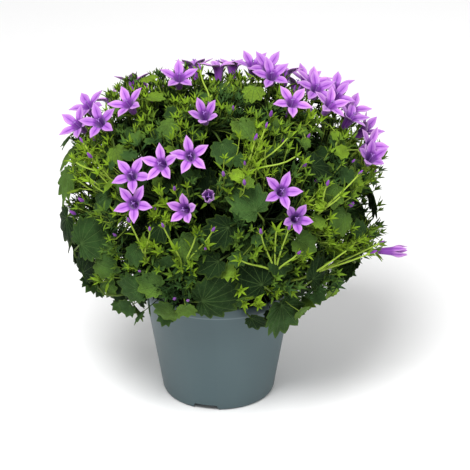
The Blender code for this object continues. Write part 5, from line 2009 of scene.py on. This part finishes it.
def petal_look(colours):
    """Return the look of petals: a deep throat that is partly painted shade, a dark midrib, pale edges
    and tips that are partly painted highlight, and fine veins.
    """
    made = Paint("petal_violet", 0.55, (1600.0, 120.0), Sheen_Weight=0.25, Specular_IOR_Level=0.3)
    tree = made.tree
    across, along = growth_of(tree)
    off = math_of(tree, "ABSOLUTE", math_of(tree, "SUBTRACT", across, 0.5))
    # Paler lobe sides and tips: partly the petals' own colour, partly painted highlight
    edge = times(tree, ramp_of(tree, off, 0.22, 0.5), ramp_of(tree, along, 0.45, 0.7))
    made.start(edge, colours.petal, colours.petal_edge)
    made.coat(ramp_of(tree, along, 0.8, 1.0), 0.5, colours.petal_edge)
    faded = times(tree, ramp_of(tree, along, 1.0, 0.8), 0.85)
    made.coat(ramp_of(tree, off, 0.17, 0.01), faded, colours.petal_deep)
    fine = math_of(tree, "PINGPONG", times(tree, across, 14.0), 0.5)
    lines = times(tree, ramp_of(tree, fine, 0.16, 0.0), 0.16)
    made.coat(lines, 1, colours.petal_deep)
    # Darker towards the throat: partly the petals' own colour, partly painted shade inside the bell
    made.coat(ramp_of(tree, along, 0.62, 0.4), 0.7, colours.petal_deep)
    made.coat(made.mask, 0.2, PETAL_BLOTCH, "MULTIPLY")
    made.coat(tone_of(tree), 0.45, PETAL_SHADE, "MULTIPLY")
    return made.done(math_of(tree, "ADD", made.height, lines), 0.00015, 0.5)


def style_look():
    """Return the look of the pale style and stigma."""
    made = Paint("style_pale", 0.6)
    made.start(noise_of(made.tree, 700.0, 2.0), STYLE_DEEP, STYLE_PALE)
    return made.done()


def pot_look(colours):
    """Return the look of thin grey-blue plastic with faint flow marks, dust and a painted highlight
    along the collar's lower edge.
    """
    made = Paint("pot_plastic_fine", 0.45, (2600.0, 34.0), Specular_IOR_Level=0.4)
    tree = made.tree
    flow = noise_of(tree, 30.0, 3.0, (1, 1, 0.12))
    rings = noise_of(tree, 8.0, 1.0, (0.02, 0.02, 55.0))
    made.start(times(tree, ramp_of(tree, flow, 0.35, 0.7), 0.3), colours.pot, colours.pot_worn)
    made.coat(made.mask, 0.14, colours.pot_worn)
    # A light band at the collar's lower edge is a painted highlight
    height = put(tree, "ShaderNodeSeparateXYZ", {0: object_place(tree)}).outputs[2]
    off_edge = math_of(tree, "ABSOLUTE", math_of(tree, "SUBTRACT", height, EDGE_HIGHLIGHT_HEIGHT))
    made.coat(ramp_of(tree, off_edge, EDGE_HIGHLIGHT_HALF, 0.3 * EDGE_HIGHLIGHT_HALF), 0.6, colours.pot_edge_highlight)
    made.roughen(0.38, flow, 0.2)
    relief = math_of(tree, "ADD", times(tree, rings, 0.5), times(tree, made.height, 0.2))
    return made.done(relief, 0.0003, 0.35)


def compost_look(colours):
    """Return the look of moist peat: dark, crumbly and full of fibres."""
    made = Paint("compost_peat", 0.9, (650.0, 160.0), Specular_IOR_Level=0.2)
    tree = made.tree
    fibre = ramp_of(tree, noise_of(tree, 260.0, 4.0, (1, 4, 1)), 0.56, 0.7)
    made.start(made.mask, colours.compost, colours.compost_light)
    made.coat(fibre, 0.5, FIBRE_BROWN)
    return made.done(math_of(tree, "ADD", made.height, fibre), 0.0012, 0.9)


LOOKS = {}


def look(name):
    """Return a material of the plant, made when it is first wanted."""
    if not LOOKS:
        colours = bpy.context.scene.bellflower_colours
        LOOKS["leaf"] = leaf_look("leaf_upper", colours)
        LOOKS["under"] = leaf_look("leaf_lower", colours, pale=True)
        LOOKS["stem"] = stem_look(colours)
        LOOKS["petal"] = petal_look(colours)
        LOOKS["style"] = style_look()
        LOOKS["pot"] = pot_look(colours)
        LOOKS["compost"] = compost_look(colours)
    return LOOKS[name]


def colour_value(label, words, default):
    """Return a colour setting."""
    return FloatVectorProperty(name=label, description="Colour of " + words, default=default, size=3,
                               subtype="COLOR", min=0.0, max=1.0)


def length_value(label, words, default):
    """Return a length setting."""
    return FloatProperty(name=label, description=words, default=default, unit="LENGTH",
                         subtype="DISTANCE", precision=5)


def count_value(label, words, default, least=0):
    """Return a count setting."""
    return IntProperty(name=label, description=words, default=default, min=least)


def number_value(label, words, default, subtype="NONE"):
    """Return a plain number setting."""
    return FloatProperty(name=label, description=words, default=default, subtype=subtype)


class BellflowerSizes(bpy.types.PropertyGroup):
    """Sizes and counts of the fine growth."""

    blade: length_value("Blade", "Thickness of leaves and petals", 0.35 * MM)
    stalk_sides: count_value("Stalk sides", "Sides of each stalk", 6, 3)
    inner_leaves: count_value("Inner leaves", "Leaves tried inside", 1200)
    outer_leaves: count_value("Outer leaves", "Leaves tried outside", 3000)
    twigs: count_value("Twigs", "Twigs tried in the upper plant", 6800)
    crumbs: count_value("Crumbs", "Lumps on the compost", 420)


class BellflowerColours(bpy.types.PropertyGroup):
    """Colours of the plant and its pot."""

    # The darkest leaf colour stands partly for old leaves, partly for painted shade deep inside the
    # plant
    leaf_dark: colour_value("Old and shaded leaf", "old leaves and the painted shade deep inside", (0.007, 0.020, 0.005))
    leaf_middle: colour_value("Leaf", "grown leaves", (0.044, 0.102, 0.024))
    leaf_young: colour_value("Young leaf", "young leaves", (0.19, 0.315, 0.018))
    leaf_under: colour_value("Leaf underside", "the paler underside", (0.045, 0.09, 0.025))
    vein: colour_value("Vein", "leaf veins", (0.085, 0.15, 0.04))
    # The darkest stem colour stands partly for old stems, partly for painted shade deep inside the
    # plant
    stem_old_and_shaded: colour_value("Old and shaded stem", "old stems and the painted shade deep inside", (0.022, 0.045, 0.008))
    stem_young: colour_value("Young stem", "young stems", (0.30, 0.43, 0.05))
    petal: colour_value("Petal", "the petals", (0.40, 0.135, 0.53))
    petal_edge: colour_value("Petal edge", "the petals' edges", (0.58, 0.30, 0.64))
    petal_deep: colour_value("Petal throat", "the throat and ribs", (0.17, 0.015, 0.31))
    pot: colour_value("Pot", "the pot", (0.051, 0.086, 0.096))
    pot_worn: colour_value("Worn pot", "dust and flow marks", (0.076, 0.120, 0.130))
    # Colour of the painted highlight along the collar's lower edge
    pot_edge_highlight: colour_value("Pot edge highlight", "the painted highlight on the collar's lower edge", (0.15, 0.20, 0.22))
    compost: colour_value("Compost", "moist compost", (0.02, 0.013, 0.009))
    compost_light: colour_value("Dry compost", "dry compost", (0.06, 0.04, 0.026))


class BellflowerStage(bpy.types.PropertyGroup):
    """The floor, the light and the camera."""

    lens: number_value("Lens", "Focal length in millimetres", 200.0)
    distance: length_value("Distance", "From the camera to the plant", 1.88)
    elevation: number_value("Elevation", "How far the camera looks down", VIEW_PITCH, "ANGLE")
    key: number_value("Key light", "Power of the main light", 25.0)
    fill: number_value("Fill light", "Power of the fill light", 1.7)
    sky: number_value("Sky", "Strength of the even light", 0.52)


class BELLFLOWER_OT_pot(bpy.types.Operator):
    """Model the thin tapered pot with its collar and foot notches"""

    bl_idname = "bellflower.pot"
    bl_label = "Pot"

    def execute(self, context):
        pot = add_object("pot_fine", pot_mesh())
        cut_notches(pot)
        pot.data.shade_smooth()
        pot.data.set_sharp_from_angle(angle=SHARP_ANGLE)
        pot.data.materials.clear()
        pot.data.materials.append(look("pot"))
        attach(pot, "root")
        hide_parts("pot")
        return {"FINISHED"}


class BELLFLOWER_OT_compost(bpy.types.Operator):
    """Give the compost its look and strew crumbs of peat on it"""

    bl_idname = "bellflower.compost"
    bl_label = "Compost"

    def execute(self, context):
        soil = frame["nodes"]["soil"]
        for slot in soil.material_slots:
            slot.material = look("compost")
        crumbs = gather("peat_crumbs", crumb_parts(context.scene.bellflower_sizes.crumbs),
                        [look("compost")])
        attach(crumbs, "root")
        return {"FINISHED"}


class BELLFLOWER_OT_shoots(bpy.types.Operator):
    """Model every leafy shoot with its stalks, leaves, bracts, buds and calyxes"""

    bl_idname = "bellflower.shoots"
    bl_label = "Leafy shoots"

    def execute(self, context):
        made = dressing()
        looks = [look(name) for name in ("stem", "leaf", "under", "petal")]
        for shoot, node in shoot_nodes(made.plant).items():
            # The shoots' tone is darkened inwards as painted shade
            body = gather(node + "_fine", made.parts[shoot], looks, shade_inwards=True)
            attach(body, "root")
            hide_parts(node)
        return {"FINISHED"}


class BELLFLOWER_OT_blooms(bpy.types.Operator):
    """Model every five-lobed bell with its style"""

    bl_idname = "bellflower.blooms"
    bl_label = "Blooms"

    def execute(self, context):
        made = dressing()
        draw = random.Random(SEED + 3)
        for piece in made.blooms:
            mesh = shape(fine_bloom, piece.recipe["form"], made.blade)
            body = gather(piece.node + "_fine", [(mesh, piece.matrix, draw.random())],
                          [look("petal"), look("style")])
            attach(body, "root")
            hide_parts(piece.node)
        return {"FINISHED"}


class BELLFLOWER_OT_stage(bpy.types.Operator):
    """Set the pale floor, the soft lights and the camera"""

    bl_idname = "bellflower.stage"
    bl_label = "Stage"

    def execute(self, context):
        stage = context.scene.bellflower_stage
        build_floor()
        build_lights(stage)
        build_camera(stage)
        return {"FINISHED"}


def build_floor():
    """Lay the pale floor."""
    bm = bmesh.new()
    bmesh.ops.create_grid(bm, x_segments=1, y_segments=1, size=FLOOR_HALF)
    made = Paint("pale_floor", 0.85)
    made.start(noise_of(made.tree, 3.0, 2.0), FLOOR_SHADE, FLOOR_PALE)
    floor = add_object("floor", mesh_from(bm, "floor"), [made.done()])


def add_area(name, place, size, power):
    """Add one soft area light that looks at the plant."""
    light = bpy.data.lights.new(name, "AREA")
    light.shape = "SQUARE"
    light.size = size
    light.energy = power
    lamp = add_object(name, light)
    lamp.location = place
    lamp.rotation_euler = (Vector(LIGHT_AIM) - Vector(place)).to_track_quat("-Z", "Y").to_euler()


def build_lights(stage):
    """Set the even sky, the key light and the two fill lights."""
    world = bpy.data.worlds.new("pale_sky")
    world.use_nodes = True
    sky = world.node_tree.nodes["Background"]
    sky.inputs["Color"].default_value = (1, 1, 1, 1)
    sky.inputs["Strength"].default_value = stage.sky
    bpy.context.scene.world = world
    for name, (place, size, power) in LAMPS.items():
        add_area(name, place, size, getattr(stage, power))


def build_camera(stage):
    """Set the camera at the photo's angle."""
    lens = bpy.data.cameras.new("camera")
    lens.lens = stage.lens
    camera = add_object("camera", lens)
    back = Vector((0, -math.cos(stage.elevation), math.sin(stage.elevation)))
    camera.location = VIEW_TARGET + back * stage.distance
    camera.rotation_euler = (-back).to_track_quat("-Z", "Y").to_euler()
    bpy.context.scene.camera = camera
    bpy.context.scene.view_settings.view_transform = "Standard"


class BELLFLOWER_PT_panel(bpy.types.Panel):
    """The settings and steps of the bellflower"""

    bl_label = "Bellflower"
    bl_idname = "BELLFLOWER_PT_panel"
    bl_space_type = "VIEW_3D"
    bl_region_type = "UI"
    bl_category = "Bellflower"

    def draw(self, context):
        layout = self.layout
        for settings in (context.scene.bellflower_sizes, context.scene.bellflower_colours,
                         context.scene.bellflower_stage):
            box = layout.box()
            for name in settings.bl_rna.properties.keys():
                if name not in ("rna_type", "name"):
                    box.prop(settings, name)
        for step in STEPS:
            layout.operator("bellflower." + step)


STEPS = ("pot", "compost", "shoots", "blooms", "stage")
GROUPS = {"bellflower_sizes": BellflowerSizes, "bellflower_colours": BellflowerColours,
          "bellflower_stage": BellflowerStage}
CLASSES = tuple(GROUPS.values()) + (BELLFLOWER_OT_pot, BELLFLOWER_OT_compost, BELLFLOWER_OT_shoots,
                                    BELLFLOWER_OT_blooms, BELLFLOWER_OT_stage, BELLFLOWER_PT_panel)


def register():
    """Register the classes and their settings."""
    for made in CLASSES:
        bpy.utils.register_class(made)
    for name, group in GROUPS.items():
        setattr(bpy.types.Scene, name, PointerProperty(type=group))


def unregister():
    """Remove the settings and the classes."""
    for name in GROUPS:
        delattr(bpy.types.Scene, name)
    for made in reversed(CLASSES):
        bpy.utils.unregister_class(made)


def main():
    """Dress the plant step by step."""
    register()
    for step in STEPS:
        getattr(bpy.ops.bellflower, step)()


if __name__ == "__main__":
    main()
